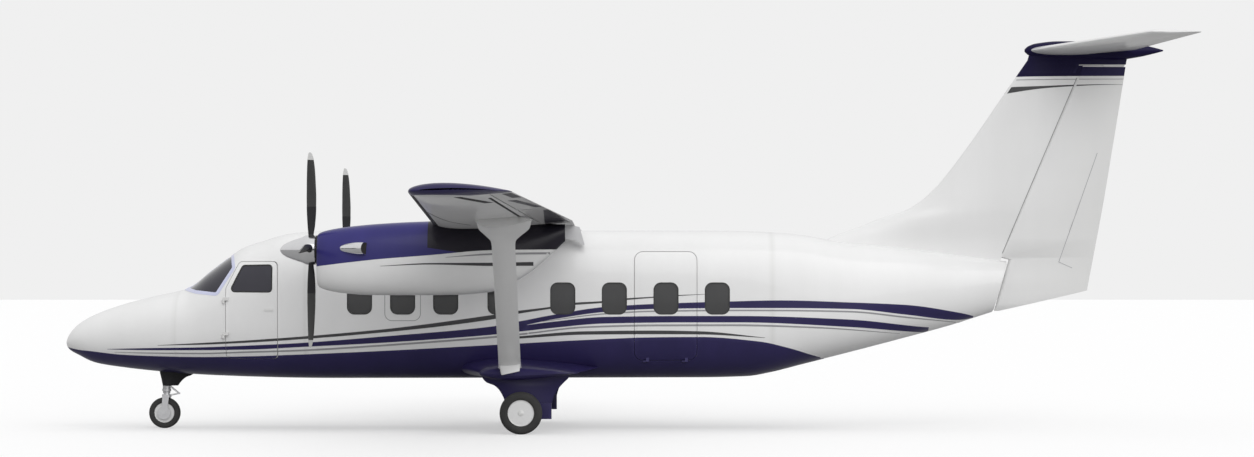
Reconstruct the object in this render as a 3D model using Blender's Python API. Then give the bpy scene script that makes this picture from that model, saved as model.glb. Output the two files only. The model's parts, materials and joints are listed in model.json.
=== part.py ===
"""Twin-turboprop airliner with a high strut-braced wing, a T-tail and fixed gear, parked on its wheels.

Metres, +Z up, nose towards -X, left side towards -Y, origin on the ground under the middle of the box.
"""
import math

import bmesh
import bpy
from mathutils import Matrix, Vector

SIDES = (("left", -1), ("right", 1))
GAP = 0.0003        # between pieces that touch
CLEAR = 0.006       # round pieces that move
WALL = 0.030        # fuselage skin with its frames
TAIL_WALL = 0.014   # the tail cone's lighter skin
RING_POINTS = 28

# Fuselage: sections along X, as x, top z, bottom z, half width, roundness of the rounded square
FUSELAGE = (
    (-8.350, 1.335, 1.255, 0.045, 2.0),
    (-8.300, 1.440, 1.195, 0.130, 2.0),
    (-8.170, 1.580, 1.120, 0.245, 2.0),
    (-7.900, 1.735, 0.998, 0.390, 2.1),
    (-7.450, 1.895, 0.925, 0.555, 2.2),
    (-7.000, 2.010, 0.875, 0.695, 2.3),
    (-6.480, 2.132, 0.832, 0.820, 2.4),
    (-6.150, 2.380, 0.813, 0.880, 2.5),
    (-5.840, 2.610, 0.800, 0.918, 2.6),
    (-5.640, 2.745, 0.793, 0.940, 2.8),
    (-5.300, 2.860, 0.784, 0.968, 3.0),
    (-4.900, 2.962, 0.775, 0.990, 3.3),
    (-4.340, 3.003, 0.770, 1.000, 3.6),
    (1.300, 3.005, 0.780, 1.000, 3.6),
    (2.000, 2.995, 0.797, 0.995, 3.5),
    (2.350, 2.980, 0.855, 0.980, 3.4),
    (2.820, 2.941, 0.972, 0.935, 3.2),
    (3.550, 2.815, 1.155, 0.815, 2.9),
    (4.340, 2.745, 1.360, 0.640, 2.6),
    (5.080, 2.650, 1.560, 0.440, 2.4),
    (5.737, 2.540, 1.768, 0.250, 2.2),
)
NOSE_TIP = FUSELAGE[0][0]
NOSE_JOINT = -6.60          # solid nose to hollow cockpit
COCKPIT_JOINT = -4.62       # cockpit to cabin
CABIN_JOINT = 2.35          # cabin to tail cone
TAIL_END = 5.737
TAIL_LEAN = 0.221           # the tail cone's top ends this much further aft

# Doors: outlines seen from the side, as x, z, anticlockwise from the front of the sill
CREW_DOOR = ((-5.820, 1.070), (-5.030, 1.070), (-5.030, 2.530), (-5.625, 2.530), (-5.820, 2.130))
CREW_DOOR_CORNER = 0.070
CREW_DOOR_REAR_GAP = 0.016                              # room for the swing round the curved skin
CREW_HINGE = (-5.840, 0.932)                            # x and |y| of the upright hinge axis
CREW_HINGE_HEIGHTS = (1.38, 1.90)
# Hinge halves seen from above, as x, |y| from the hinge axis
CREW_BRACKET = ((0.010, 0.012), (0.010, -0.055), (-0.070, -0.070), (-0.010, 0.012))
CREW_STRAP = ((-0.012, 0.012), (0.070, 0.012), (0.070, -0.050), (0.045, -0.050), (0.045, -0.008),
              (-0.012, -0.008))
CREW_WINDOW = ((-5.735, 2.087), (-5.130, 2.080), (-5.130, 2.466), (-5.556, 2.460))
CREW_WINDOW_CORNER = 0.040
AIRSTAIR = ((0.288, 1.050), (1.228, 1.050), (1.228, 2.679), (0.288, 2.679))
AIRSTAIR_CORNER = 0.130
AIRSTAIR_HINGE = (0.897, 1.040)                         # |y| and z of the hinge axis under the sill
AIRSTAIR_HINGE_PLACES = (0.42, 1.00)
# Hinge halves seen from the nose, as |y|, z from the hinge axis
AIRSTAIR_BRACKET = ((0.008, 0.007), (-0.032, 0.007), (-0.052, -0.030), (0.008, -0.008))
AIRSTAIR_STRAP = ((0.012, -0.010), (0.012, 0.050), (-0.012, 0.050), (-0.008, 0.015), (-0.008, -0.010))
HINGE_LEAF = 0.045                                      # each half of a hinge along its axis
SIDE_REACH = (0.30, 1.30)                               # |y| range that holds either side wall
WINDSCREEN = ((-6.300, 2.100), (-5.970, 2.065), (-5.738, 2.440), (-5.775, 2.570), (-5.920, 2.800),
              (-6.590, 2.800), (-6.500, 2.150))
WINDSCREEN_POST = 0.030                                 # half width of the centre post

FLOOR_TOP = 1.040
FLOOR_THICKNESS = 0.030
# Places along the floor's edge: x, how far it stays off the skin there
FLOOR_EDGE = ((NOSE_JOINT + 0.05, 0.02), (-6.15, 0.02), (-5.64, 0.02), (-4.90, 0.01), (-4.34, 2 * GAP),
              (1.30, 2 * GAP), (1.95, 0.01))
SEAT_Y = 0.420
SEAT_WIDTH = 0.460
# A crew seat from the side, as x, z from its front foot on the floor
SEAT = ((0.00, 0.00), (0.36, 0.00), (0.36, 0.24), (0.50, 0.30), (0.68, 1.00), (0.60, 1.03), (0.42, 0.42),
        (-0.06, 0.44), (-0.06, 0.32), (0.00, 0.30))
SEAT_FRONT = -5.700
PANEL = ((-6.300, 1.720), (-6.160, 1.660), (-6.120, 1.980), (-6.200, 2.030), (-6.340, 2.030))
PANEL_HALF_WIDTH = 0.600
PEDESTAL = ((-6.300, 0.0), (-5.760, 0.0), (-5.760, 0.42), (-6.140, 0.74), (-6.300, 0.76))     # x, height
PEDESTAL_HALF_WIDTH = 0.130

# Wing: stations along the span, as |y|, leading edge x, trailing edge x, chord line z, thickness
WING = (
    (0.00, -2.600, -0.600, 3.065, 0.290),
    (3.30, -2.600, -0.600, 3.085, 0.285),
    (10.70, -2.412, -1.195, 3.245, 0.165),
    (10.90, -2.395, -1.225, 3.250, 0.140),
    (10.98, -2.350, -1.290, 3.252, 0.080),
    (11.01, -2.270, -1.400, 3.253, 0.020),
)
WING_CAMBER = 0.018
HINGE_SHARE = 0.785         # hinges of flaps and ailerons, as a share of the chord
# Movable surfaces of the wing: name, inner |y|, outer |y|
WING_SURFACES = (
    ("flap_inner", 1.10, 2.34),
    ("flap_outer", 3.26, 6.90),
    ("aileron", 6.95, 10.55),
)
PIN_RADIUS = 0.010
PIN_INSIDE = 0.060          # length of a hinge pin inside its surface
PIN_POINTS = 8
EDGE_HALF = 0.002           # half thickness of a trailing edge
# Box that holds the wing's movable surfaces: rear x, bottom z, top z
WING_BAY = (0.2, 2.0, 4.0)

# Engines
ENGINE_Y = 2.800
PROP_AXIS_Z = 2.673
PROP_X = -4.349
PROP_RADIUS = 1.397
BLADES = 4
BLADE_POINTS = 8
# Blade sections: radius, chord, thickness, angle to the disc in degrees
BLADE = (
    (0.150, 0.100, 0.080, 70),
    (0.330, 0.150, 0.050, 62),
    (0.600, 0.225, 0.032, 52),
    (0.950, 0.250, 0.022, 42),
    (1.250, 0.225, 0.016, 36),
    (PROP_RADIUS, 0.130, 0.008, 34),
)
SPINNER_POINTS = 20
SPINNER_TIP = -4.793
SPINNER_BASE = -4.278
SPINNER_RADIUS = 0.215
SPINNER_SHARES = (0.02, 0.15, 0.40, 0.70, 1.0)      # sections of its cone, from tip to base
SPINNER_POWER = 0.75                                # how blunt the cone is
HUB_FRONT = -4.430
# Nacelle sections: x, top z, bottom z, half width, roundness
NACELLE = (
    (-4.250, 2.905, 2.150, 0.250, 2.4),
    (-4.150, 2.945, 2.105, 0.300, 2.4),
    (-3.850, 3.000, 2.050, 0.355, 2.5),
    (-3.400, 3.045, 2.025, 0.380, 2.6),
    (-2.830, 3.077, 2.025, 0.385, 2.6),
    (-2.300, 3.090, 2.030, 0.380, 2.6),
    (-1.790, 3.090, 2.070, 0.350, 2.5),
    (-1.350, 3.070, 2.260, 0.280, 2.4),
    (-0.950, 3.050, 2.570, 0.180, 2.2),
    (-0.710, 3.040, 2.800, 0.085, 2.0),
)
NACELLE_WALL = 0.025
NACELLE_POINTS = 20
FIREWALL = -2.450
WING_AT_NACELLE = (1.6, 3.3, 4.6)       # |y| of the wing sections that cut the cowling's seat
ENGINE_FRONT = -4.050
ENGINE_RADIUS = 0.235
ENGINE_DROP = 0.050                     # its middle below the propeller's axis
SHAFT_RADIUS = 0.090
SHAFT_INSIDE = 0.100
STACK = (-3.905, -3.500, 2.690)         # front x, rear x, z of an exhaust stack
STACK_RADIUS = 0.085
STACK_CLEAR = 0.015                     # between a stack and its hole in the cowling
STACK_HOLE_CORNER = 0.050
STACK_HOLE_REACH = 0.600
# Rings of an exhaust stack: x, distance from the engine's axis, radius
STACK_RINGS = (
    (-3.875, 0.16, 0.050),
    (-3.745, 0.34, 0.075),
    (-3.635, 0.40, STACK_RADIUS),
    (-3.500, 0.42, STACK_RADIUS),
)

# Struts and stub wings
STRUT_FOOT = Vector((-1.540, 2.060, 0.880))
STRUT_HEAD = Vector((-1.525, 5.520, 3.040))
STRUT_CHORD = 0.320
STRUT_THICKNESS = 0.095
STRUT_AXIS = 0.45                       # share of its chord that lies in front of its line
# Strut sections: share of the length, factors of chord and thickness
STRUT = ((0.0, 1.6, 1.3), (0.05, 1.0, 1.0), (0.872, 1.03, 1.0), (0.926, 1.84, 1.2), (1.0, 2.35, 1.9))
# Stub wings: |y|, front x, rear x, middle z, thickness
STUB = (
    (0.55, -2.420, -0.150, 0.960, 0.330),
    (1.00, -2.200, -0.330, 0.925, 0.270),
    (1.60, -2.020, -0.500, 0.898, 0.220),
    (2.15, -1.965, -0.548, 0.890, 0.200),
    (2.24, -1.900, -0.640, 0.890, 0.150),
    (2.28, -1.780, -0.800, 0.890, 0.060),
)

# Main gear: leg fairing slices, as z, front x, rear x, thickness
LEG_Y = 1.900
LEG = (
    (0.880, -1.945, -0.705, 0.150),
    (0.748, -1.873, -0.790, 0.150),
    (0.660, -1.715, -0.830, 0.150),
    (0.450, -1.600, -0.852, 0.145),
    (0.380, -1.580, -0.880, 0.140),
    (0.230, -1.520, -0.930, 0.110),
)
MAIN_AXLE = (-0.020, 0.115, 0.035)      # ends as |y| from the leg's middle, radius
MAIN_BOSS = 0.085                       # how far the wheel's middle reaches outwards
MAIN_WHEEL = (-1.365, 2.115, 0.310)     # x, |y|, z of the centre; z is the tyre's radius
MAIN_TYRE_WIDTH = 0.200
MAIN_RIM_RADIUS = 0.185
NOSE_WHEEL = (-6.857, 0.0, 0.235)
NOSE_TYRE_WIDTH = 0.150
NOSE_RIM_RADIUS = 0.135
# One side of a tyre from bead to tread: share of its half width, share of its wall's height
TYRE_SIDE = ((0.80, 0.0), (1.0, 0.45), (0.88, 0.84), (0.45, 1.0))
# A wheel from its rim to its boss: share of the tyre's half width, share of the rim's radius
RIM_EDGE = (0.80, 1.0)
RIM_DISC = (0.40, 0.80)
BOSS_SHARE = 0.28                       # radius of the boss as a share of the rim's
WHEEL_POINTS = 24
STEER_X = -6.830
# Nose leg fairing slices: z, front x, rear x, thickness
NOSE_FAIRING = (
    (0.950, -6.950, -6.340, 0.240),
    (0.800, -6.922, -6.470, 0.200),
    (0.655, -6.888, -6.645, 0.170),
)
STRUT_BOTTOM = 0.530
STRUT_RADIUS = 0.062
STEERED_RADIUS = 0.045
FORK_CROWN = (0.515, 0.470)             # its top and bottom z
FORK_CROWN_REAR = 0.060                 # its rear edge behind the steering axis
FORK_CROWN_FRONT = 0.020                # its front edge before the axle
FORK_LEG = (0.095, 0.120)               # inner and outer |y|
FORK_LEG_TOP = 0.495
AXLE_HALF = 0.030                       # half width of a fork leg at the axle
FORK_BOTTOM = 0.465                     # z of the steering joint's origin

# Tail
FIN_HINGE_FOOT = Vector((5.882, 0.0, 2.545))
FIN_HINGE_SLOPE = 0.4245                # x per z along the rudder's hinge line
# Fin slices: z, leading edge x, thickness
FIN = (
    (2.450, 2.950, 0.200),
    (2.850, 3.200, 0.230),
    (3.090, 3.790, 0.265),
    (3.230, 4.140, 0.275),
    (3.310, 4.420, 0.275),
    (3.580, 4.800, 0.270),
    (4.130, 5.257, 0.250),
    (5.110, 5.943, 0.200),
    (5.640, 6.310, 0.175),
)
FIN_WALL = 0.018
FIN_EDGE_WALL = 0.054       # the same at its sharp leading edge
FIN_ROOM_TOP = 5.35         # top of the hollow inside the fin, which is open at the root
FIN_TRAILING = ((2.095, 7.190), (3.398, 7.436), (4.876, 7.680), (5.640, 7.800))     # z, x
RUDDER_BOTTOM = 1.785
RUDDER_TOP = 5.500
RUDDER_LOW = (RUDDER_BOTTOM, 1.900, 2.095, 2.565)       # z of its sections behind the tail cone
RUDDER_HIGH = (2.605, 4.130, RUDDER_TOP)                # z of those behind the fin
RUDDER_NOSE = 0.055                     # radius of its front edge behind the tail cone
FIN_CAP_BOTTOM = 5.538
FIN_CAP_INSET = (0.020, 0.004)          # from the fin's leading edge and from its thickness
TAIL_GAP = 0.032                        # rudder's front edge behind the tail cone
# Bullet sections: x, half height, half width
BULLET = (
    (6.240, 0.020, 0.020),
    (6.290, 0.065, 0.060),
    (6.420, 0.110, 0.105),
    (6.750, 0.143, 0.135),
    (7.650, 0.143, 0.135),
    (7.950, 0.105, 0.100),
    (8.200, 0.050, 0.048),
    (8.350, 0.010, 0.010),
)
BULLET_Z = 5.750
BULLET_POINTS = 20
# Stabiliser stations: |y|, leading edge x, trailing edge x, thickness
STABILISER = (
    (0.00, 6.300, 7.860, 0.150),
    (3.30, 7.550, 8.300, 0.085),
    (3.38, 7.600, 8.290, 0.060),
    (3.41, 7.690, 8.250, 0.020),
)
STABILISER_HINGE = 0.620
STABILISER_SLOT = 0.600                 # half length of the tool that cuts the bullet's slot
TAILPLANE_ROOM = (5.000, 8.600, 0.500)  # box that holds the tailplane: front x, rear x, half height
ELEVATOR = (0.175, 3.26)                # inner and outer |y|


def collection(name):
    """A new collection in the scene."""
    made = bpy.data.collections.new(name)
    bpy.context.scene.collection.children.link(made)
    return made


for old in list(bpy.data.objects):
    bpy.data.objects.remove(old, do_unlink=True)
PARTS = collection("turboprop_airliner")
TOOLS = collection("cutters")


def material(name, color, roughness, metallic=0.0):
    """A plain Principled material."""
    made = bpy.data.materials.new(name)
    made.use_nodes = True
    shader = made.node_tree.nodes["Principled BSDF"]
    shader.inputs["Base Color"].default_value = (*color, 1.0)
    shader.inputs["Roughness"].default_value = roughness
    shader.inputs["Metallic"].default_value = metallic
    return made


FINISHES = {
    "white_paint": ((0.86, 0.86, 0.85), 0.25, 0.0),
    "navy_paint": ((0.025, 0.020, 0.070), 0.25, 0.0),
    "grey_metal": ((0.45, 0.45, 0.46), 0.45, 0.6),
    "floor_panel": ((0.35, 0.35, 0.36), 0.60, 0.3),
    "polished": ((0.85, 0.85, 0.86), 0.12, 1.0),
    "black_blade": ((0.02, 0.02, 0.02), 0.40, 0.0),
    "engine_metal": ((0.30, 0.30, 0.31), 0.50, 0.8),
    "rubber": ((0.02, 0.02, 0.02), 0.80, 0.0),
    "wheel_paint": ((0.75, 0.75, 0.74), 0.35, 0.2),
    "dark_glass": ((0.02, 0.025, 0.03), 0.05, 0.0),
    "cabin_trim": ((0.35, 0.34, 0.33), 0.70, 0.0),
    "seat_fabric": ((0.08, 0.08, 0.10), 0.85, 0.0),
}


def add(name, mesh, finish=None):
    """An object of the part, or a guide when it has no finish; smooth except at sharp edges."""
    made = bpy.data.objects.new(name, mesh)
    if finish is None:
        TOOLS.objects.link(made)
        made.hide_render = True
        made.display_type = "WIRE"
        return made
    PARTS.objects.link(made)
    mesh.materials.append(material(name + "_" + finish, *FINISHES[finish]))
    mesh.shade_smooth()
    mesh.set_sharp_from_angle(angle=math.radians(35))
    return made


def mesh_from(name, points, faces):
    """A mesh whose faces all point out."""
    mesh = bpy.data.meshes.new(name)
    mesh.from_pydata(points, [], faces)
    form = bmesh.new()
    form.from_mesh(mesh)
    bmesh.ops.recalc_face_normals(form, faces=form.faces)
    form.to_mesh(mesh)
    form.free()
    return mesh


FLAT = 1e-6         # a four-sided face this flat stays whole


def skin_faces(points, a, b, c, d, forward):
    """One flat face, or two triangles that share the same diagonal whichever way the loft runs."""
    normal = (points[b] - points[a]).cross(points[c] - points[a]).normalized()
    if abs(normal.dot(points[d] - points[a])) < FLAT:
        return [(a, b, c, d)]
    if forward:
        return [(a, b, c), (a, c, d)]
    return [(b, c, d), (b, d, a)]


def loft(name, rings, finish=None, loop=False):
    """Skin through rings of equally many points, capped at both ends, or closed on itself as a loop."""
    count = len(rings[0])
    points = [point for ring in rings for point in ring]
    middles = [sum(ring, Vector()) / count for ring in rings]
    faces = []
    spans = len(rings) if loop else len(rings) - 1
    for span in range(spans):
        following = (span + 1) % len(rings)
        step = middles[following] - middles[span]
        forward = step.x + step.y + step.z > 0
        here = span * count
        there = following * count
        for place in range(count):
            after = (place + 1) % count
            faces += skin_faces(points, here + place, here + after, there + after, there + place, forward)
    if not loop:
        faces.append(tuple(range(count)))
        faces.append(tuple(range(len(points) - count, len(points))))
    return add(name, mesh_from(name, points, faces), finish)


def offset_ring(ring, distance):
    """The ring moved outwards in its own plane, mitred at its corners; inwards when negative."""
    middle = sum(ring, Vector()) / len(ring)
    normal = Vector()
    for place, point in enumerate(ring):
        normal += (ring[place - 1] - middle).cross(point - middle)
    normal.normalize()
    moved = []
    for place, point in enumerate(ring):
        before = (point - ring[place - 1]).cross(normal).normalized()
        after = (ring[(place + 1) % len(ring)] - point).cross(normal).normalized()
        mitre = (before + after).normalized()
        moved.append(point + mitre * distance / max(mitre.dot(before), 0.5))
    return moved


def prism(name, outline, along, low, high, finish=None):
    """A flat outline pushed along an axis: points are (x, z) along Y, (x, y) along Z, (y, z) along X."""
    def place(first, second, depth):
        if along == "y":
            return Vector((first, depth, second))
        if along == "z":
            return Vector((first, second, depth))
        return Vector((depth, first, second))
    rings = [[place(a, b, depth) for a, b in outline] for depth in (low, high)]
    return loft(name, rings, finish)


def cylinder(name, start, end, radius, points=16, finish=None):
    """A round bar between two points."""
    start, end = Vector(start), Vector(end)
    axis = end - start
    form = bmesh.new()
    bmesh.ops.create_cone(form, cap_ends=True, segments=points, radius1=radius, radius2=radius,
                          depth=axis.length)
    turn = Vector((0, 0, 1)).rotation_difference(axis).to_matrix().to_4x4()
    form.transform(Matrix.Translation((start + end) / 2) @ turn)
    mesh = bpy.data.meshes.new(name)
    form.to_mesh(mesh)
    form.free()
    return add(name, mesh, finish)


def combine(target, tool, operation):
    """A Boolean of the target with a hidden tool."""
    step = target.modifiers.new(operation.lower(), "BOOLEAN")
    step.operation = operation
    step.solver = "EXACT"
    step.object = tool


def cut(target, tool):
    combine(target, tool, "DIFFERENCE")


def keep(target, tool):
    combine(target, tool, "INTERSECT")


def join(target, tool):
    combine(target, tool, "UNION")


def pivot(target, point):
    """Puts the object's origin on its joint's axis and leaves its shape where it is."""
    target.data.transform(Matrix.Translation(-Vector(point)))
    target.location = point


def rounded(corners, radius, steps=4):
    """A convex outline, anticlockwise, with each corner turned into an arc."""
    outline = []
    count = len(corners)
    for place in range(count):
        corner = Vector(corners[place])
        back = (Vector(corners[place - 1]) - corner).normalized()
        ahead = (Vector(corners[(place + 1) % count]) - corner).normalized()
        half = back.angle(ahead) / 2
        middle = corner + (back + ahead).normalized() * radius / math.sin(half)
        start = math.atan2(-back.x, back.y)
        sweep = math.pi - 2 * half
        for step in range(steps + 1):
            turn = start + math.pi + sweep * step / steps
            outline.append((middle.x + radius * math.cos(turn), middle.y + radius * math.sin(turn)))
    return outline


def inset(outline, distance):
    """An outline moved inwards by a distance."""
    ring = [Vector((a, b, 0.0)) for a, b in outline]
    return [(point.x, point.y) for point in offset_ring(ring, -distance)]


def between(table, value, column):
    """A table's column at a value of its first column, on straight lines between rows."""
    for here, there in zip(table, table[1:]):
        if value <= there[0]:
            share = (value - here[0]) / (there[0] - here[0])
            return here[column] + share * (there[column] - here[column])
    return table[-1][column]


# Rounded sections

def oval(middle, half_width, half_height, roundness, count=RING_POINTS):
    """A rounded square across X: a superellipse, starting at its +Y side."""
    ring = []
    for place in range(count):
        turn = 2 * math.pi * place / count
        across = math.copysign(abs(math.cos(turn)) ** (2 / roundness), math.cos(turn))
        up = math.copysign(abs(math.sin(turn)) ** (2 / roundness), math.sin(turn))
        if place % (count // 2) == 0:
            up = 0.0
        if place % (count // 2) == count // 4:
            across = 0.0
        ring.append(middle + Vector((0.0, across * half_width, up * half_height)))
    return ring


def section(table, x, y=0.0, count=RING_POINTS):
    """The rounded section of a body at x, from a table like FUSELAGE or NACELLE."""
    top, bottom, half, roundness = (between(table, x, column) for column in (1, 2, 3, 4))
    return oval(Vector((x, y, (top + bottom) / 2)), half, (top - bottom) / 2, roundness, count)


def sections(table, start, end, y=0.0, count=RING_POINTS):
    """Sections at start, at every row of the table between, and at end."""
    places = [start] + [row[0] for row in table if start + 0.02 < row[0] < end - 0.02] + [end]
    return [section(table, x, y, count) for x in places]


def lean(ring, amount):
    """Moves a ring's points aft in proportion to their height."""
    low = min(point.z for point in ring)
    high = max(point.z for point in ring)
    return [point + Vector((amount * (point.z - low) / (high - low), 0, 0)) for point in ring]


def tail_rings():
    rings = sections(FUSELAGE, CABIN_JOINT + GAP, TAIL_END)
    rings[-1] = lean(rings[-1], TAIL_LEAN)
    return rings


def fuselage_envelope(name):
    """The whole fuselage as one solid, larger by the gap, to cut what sits on it."""
    rings = sections(FUSELAGE, NOSE_TIP, TAIL_END)
    rings[-1] = lean(rings[-1], TAIL_LEAN)
    return loft(name, [offset_ring(ring, GAP) for ring in rings])


def tube(name, rings, wall, finish=None):
    """An open tube."""
    inner = [offset_ring(ring, -wall) for ring in rings]
    return loft(name, rings + inner[::-1], finish, loop=True)


# Fuselage

def nose():
    loft("nose_section", sections(FUSELAGE, NOSE_TIP, NOSE_JOINT), "white_paint")


def side_span(sign, inner=SIDE_REACH[0]):
    """Lower and upper y of a tool that cuts one side wall."""
    return sorted((sign * inner, sign * SIDE_REACH[1]))


def cockpit_rings():
    return sections(FUSELAGE, NOSE_JOINT + GAP, COCKPIT_JOINT)


def cockpit():
    shell = tube("cockpit_section", cockpit_rings(), WALL, "white_paint")
    for side, sign in SIDES:
        near, far = side_span(sign)
        cut(shell, prism("crew_doorway_" + side, rounded(CREW_DOOR, CREW_DOOR_CORNER), "y", near, far))
        near, far = side_span(sign, WINDSCREEN_POST)
        cut(shell, prism("windscreen_hole_" + side, WINDSCREEN, "y", near, far))
        near, far = side_span(sign, WINDSCREEN_POST + GAP)
        pane = tube("windscreen_" + side, cockpit_rings(), WALL, "dark_glass")
        keep(pane, prism("windscreen_edge_" + side, inset(WINDSCREEN, GAP), "y", near, far))
        crew_door(shell, side, sign)


def crew_door(shell, side, sign):
    """A door hinged on its front edge, with the cockpit's side window in it."""
    near, far = side_span(sign)
    door = tube("crew_door_" + side, cockpit_rings(), WALL, "white_paint")
    rear = CREW_DOOR[1][0] - CREW_DOOR_REAR_GAP + CLEAR
    leaf = [(min(x, rear), z) for x, z in CREW_DOOR]
    keep(door, prism("crew_leaf_" + side, inset(rounded(leaf, CREW_DOOR_CORNER), CLEAR), "y", near, far))
    window = rounded(CREW_WINDOW, CREW_WINDOW_CORNER)
    cut(door, prism("crew_window_hole_" + side, window, "y", near, far))
    pane = tube("crew_window_" + side, cockpit_rings(), WALL, "dark_glass")
    keep(pane, prism("crew_window_edge_" + side, inset(window, GAP), "y", near, far))
    x, y = CREW_HINGE
    fixed = [(x + a, sign * (y + b)) for a, b in CREW_BRACKET]
    swinging = [(x + a, sign * (y + b)) for a, b in CREW_STRAP]
    for number, z in enumerate(CREW_HINGE_HEIGHTS):
        tail = f"{side}_{number}"
        join(shell, prism("crew_bracket_" + tail, fixed, "z", z, z + HINGE_LEAF))
        join(door, prism("crew_strap_" + tail, swinging, "z", z + HINGE_LEAF + GAP, z + 2 * HINGE_LEAF))
    axis = (x, sign * y, CREW_HINGE_HEIGHTS[0])
    pivot(door, axis)
    pivot(pane, axis)


def cabin():
    """The cabin tube, with a doorway for the airstair on the left."""
    rings = sections(FUSELAGE, COCKPIT_JOINT + GAP, CABIN_JOINT)
    shell = tube("cabin_section", rings, WALL, "white_paint")
    doorway = rounded(AIRSTAIR, AIRSTAIR_CORNER)
    near, far = side_span(-1)
    cut(shell, prism("airstair_doorway", doorway, "y", near, far))
    door = tube("airstair_door", rings, WALL, "white_paint")
    keep(door, prism("airstair_leaf", inset(doorway, CLEAR), "y", near, far))
    y, z = AIRSTAIR_HINGE
    fixed = [(-(y + a), z + b) for a, b in AIRSTAIR_BRACKET]
    swinging = [(-(y + a), z + b) for a, b in AIRSTAIR_STRAP]
    for number, x in enumerate(AIRSTAIR_HINGE_PLACES):
        join(shell, prism(f"airstair_bracket_{number}", fixed, "x", x, x + HINGE_LEAF))
        join(door, prism(f"airstair_strap_{number}", swinging, "x", x + HINGE_LEAF + GAP, x + 2 * HINGE_LEAF))
    pivot(door, (AIRSTAIR_HINGE_PLACES[0], -y, z))


def tail_cone():
    """A cone that is closed at its aft end."""
    outer = tail_rings()
    inner = [offset_ring(ring, -TAIL_WALL) for ring in outer[:-1]]
    loft("tail_cone", outer[::-1] + inner, "white_paint")


def floor():
    """The floor of cockpit and cabin, as wide as the tube is at its lower face."""
    def half_width(x, z):
        ring = offset_ring(section(FUSELAGE, x), -WALL)
        for here, there in zip(ring, ring[1:] + ring[:1]):
            if min(here.z, there.z) <= z <= max(here.z, there.z) and here.y > 0 and there.z != here.z:
                share = (z - here.z) / (there.z - here.z)
                return here.y + share * (there.y - here.y)
        return 0.0
    bottom = FLOOR_TOP - FLOOR_THICKNESS
    right = [(x, half_width(x, bottom) - slack) for x, slack in FLOOR_EDGE]
    outline = right + [(x, -y) for x, y in reversed(right)]
    prism("cabin_floor", outline, "z", bottom, FLOOR_TOP, "floor_panel")


def crew_station():
    """Two seats, and the instrument panel on its pedestal."""
    base = FLOOR_TOP + GAP
    for side, sign in SIDES:
        outline = [(SEAT_FRONT + x, base + z) for x, z in SEAT]
        near, far = sorted((sign * (SEAT_Y - SEAT_WIDTH / 2), sign * (SEAT_Y + SEAT_WIDTH / 2)))
        prism("crew_seat_" + side, outline, "y", near, far, "seat_fabric")
    panel = prism("instrument_panel", PANEL, "y", -PANEL_HALF_WIDTH, PANEL_HALF_WIDTH, "cabin_trim")
    stand = [(x, base + height) for x, height in PEDESTAL]
    join(panel, prism("pedestal", stand, "y", -PEDESTAL_HALF_WIDTH, PEDESTAL_HALF_WIDTH))


# Lifting surfaces

def half_thickness(share):
    """Half thickness of a symmetric aerofoil at a share of its chord, for a thickness of 1."""
    terms = 0.2969 * math.sqrt(share) - 0.1260 * share - 0.3516 * share ** 2
    return 5 * (terms + 0.2843 * share ** 3 - 0.1036 * share ** 4)


FRONT_SHARES = (0.0, 0.012, 0.045, 0.11, 0.22, 0.38, 0.55, 0.70)


def aerofoil(front, rear, thickness, camber, end_share):
    """Outline from the trailing side over the top, round the nose and back below, as (x, height)."""
    chord = rear - front

    def point(share, way):
        mean = 4 * camber * chord * share * (1 - share)
        return front + share * chord, mean + way * half_thickness(share) * thickness
    shares = [share for share in FRONT_SHARES if share < end_share - 0.02]
    upper = [point(share, 1) for share in reversed(shares[1:])]
    lower = [point(share, -1) for share in shares[1:]]
    outline = [point(end_share, 1)] + upper + [point(0.0, 1)] + lower + [point(end_share, -1)]
    if end_share > 0.99:
        tip = point(1.0, 1)
        outline[0] = (tip[0], tip[1] + EDGE_HALF)
        outline[-1] = (tip[0], tip[1] - EDGE_HALF)
    return outline


NOSE_STEPS = 6


def surface_outline(hinge, height, radius, rear, rear_height=0.0):
    """Outline of a movable surface: a round nose about its hinge, tapering to its trailing edge."""
    outline = [(rear, rear_height + EDGE_HALF)]
    for step in range(NOSE_STEPS + 1):
        turn = math.pi / 2 + math.pi * step / NOSE_STEPS
        outline.append((hinge + radius * math.cos(turn), height + radius * math.sin(turn)))
    outline.append((rear, rear_height - EDGE_HALF))
    return outline


def wing_row(y):
    return tuple(between(WING, y, column) for column in (1, 2, 3, 4))


def wing_ring(y, sign, grow=0.0):
    front, rear, z, thickness = wing_row(y)
    outline = aerofoil(front, rear, thickness, WING_CAMBER, 1.0)
    ring = [Vector((x, sign * y, z + height)) for x, height in outline]
    return offset_ring(ring, grow) if grow else ring


def wing_hinge(y):
    """Hinge point and half thickness there, at a station of the wing."""
    front, rear, z, thickness = wing_row(y)
    chord = rear - front
    mean = 4 * WING_CAMBER * chord * HINGE_SHARE * (1 - HINGE_SHARE)
    radius = half_thickness(HINGE_SHARE) * thickness
    return front + HINGE_SHARE * chord, z + mean, radius


def pin(target, name, start, end):
    """A hinge pin, joined to the end of a movable surface."""
    join(target, cylinder(name, start, end, PIN_RADIUS, PIN_POINTS))


def wings():
    """Two wing halves that meet at the centre plane, each with bays for its flaps and aileron."""
    crown = fuselage_envelope("crown_cutter")
    for side, sign in SIDES:
        rings = [wing_ring(max(row[0], GAP), sign) for row in WING]
        wing = loft("wing_" + side, rings, "white_paint")
        cut(wing, crown)
        for name, inner, outer in WING_SURFACES:
            wing_surface(wing, f"{name}_{side}", sign, inner, outer)


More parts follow.
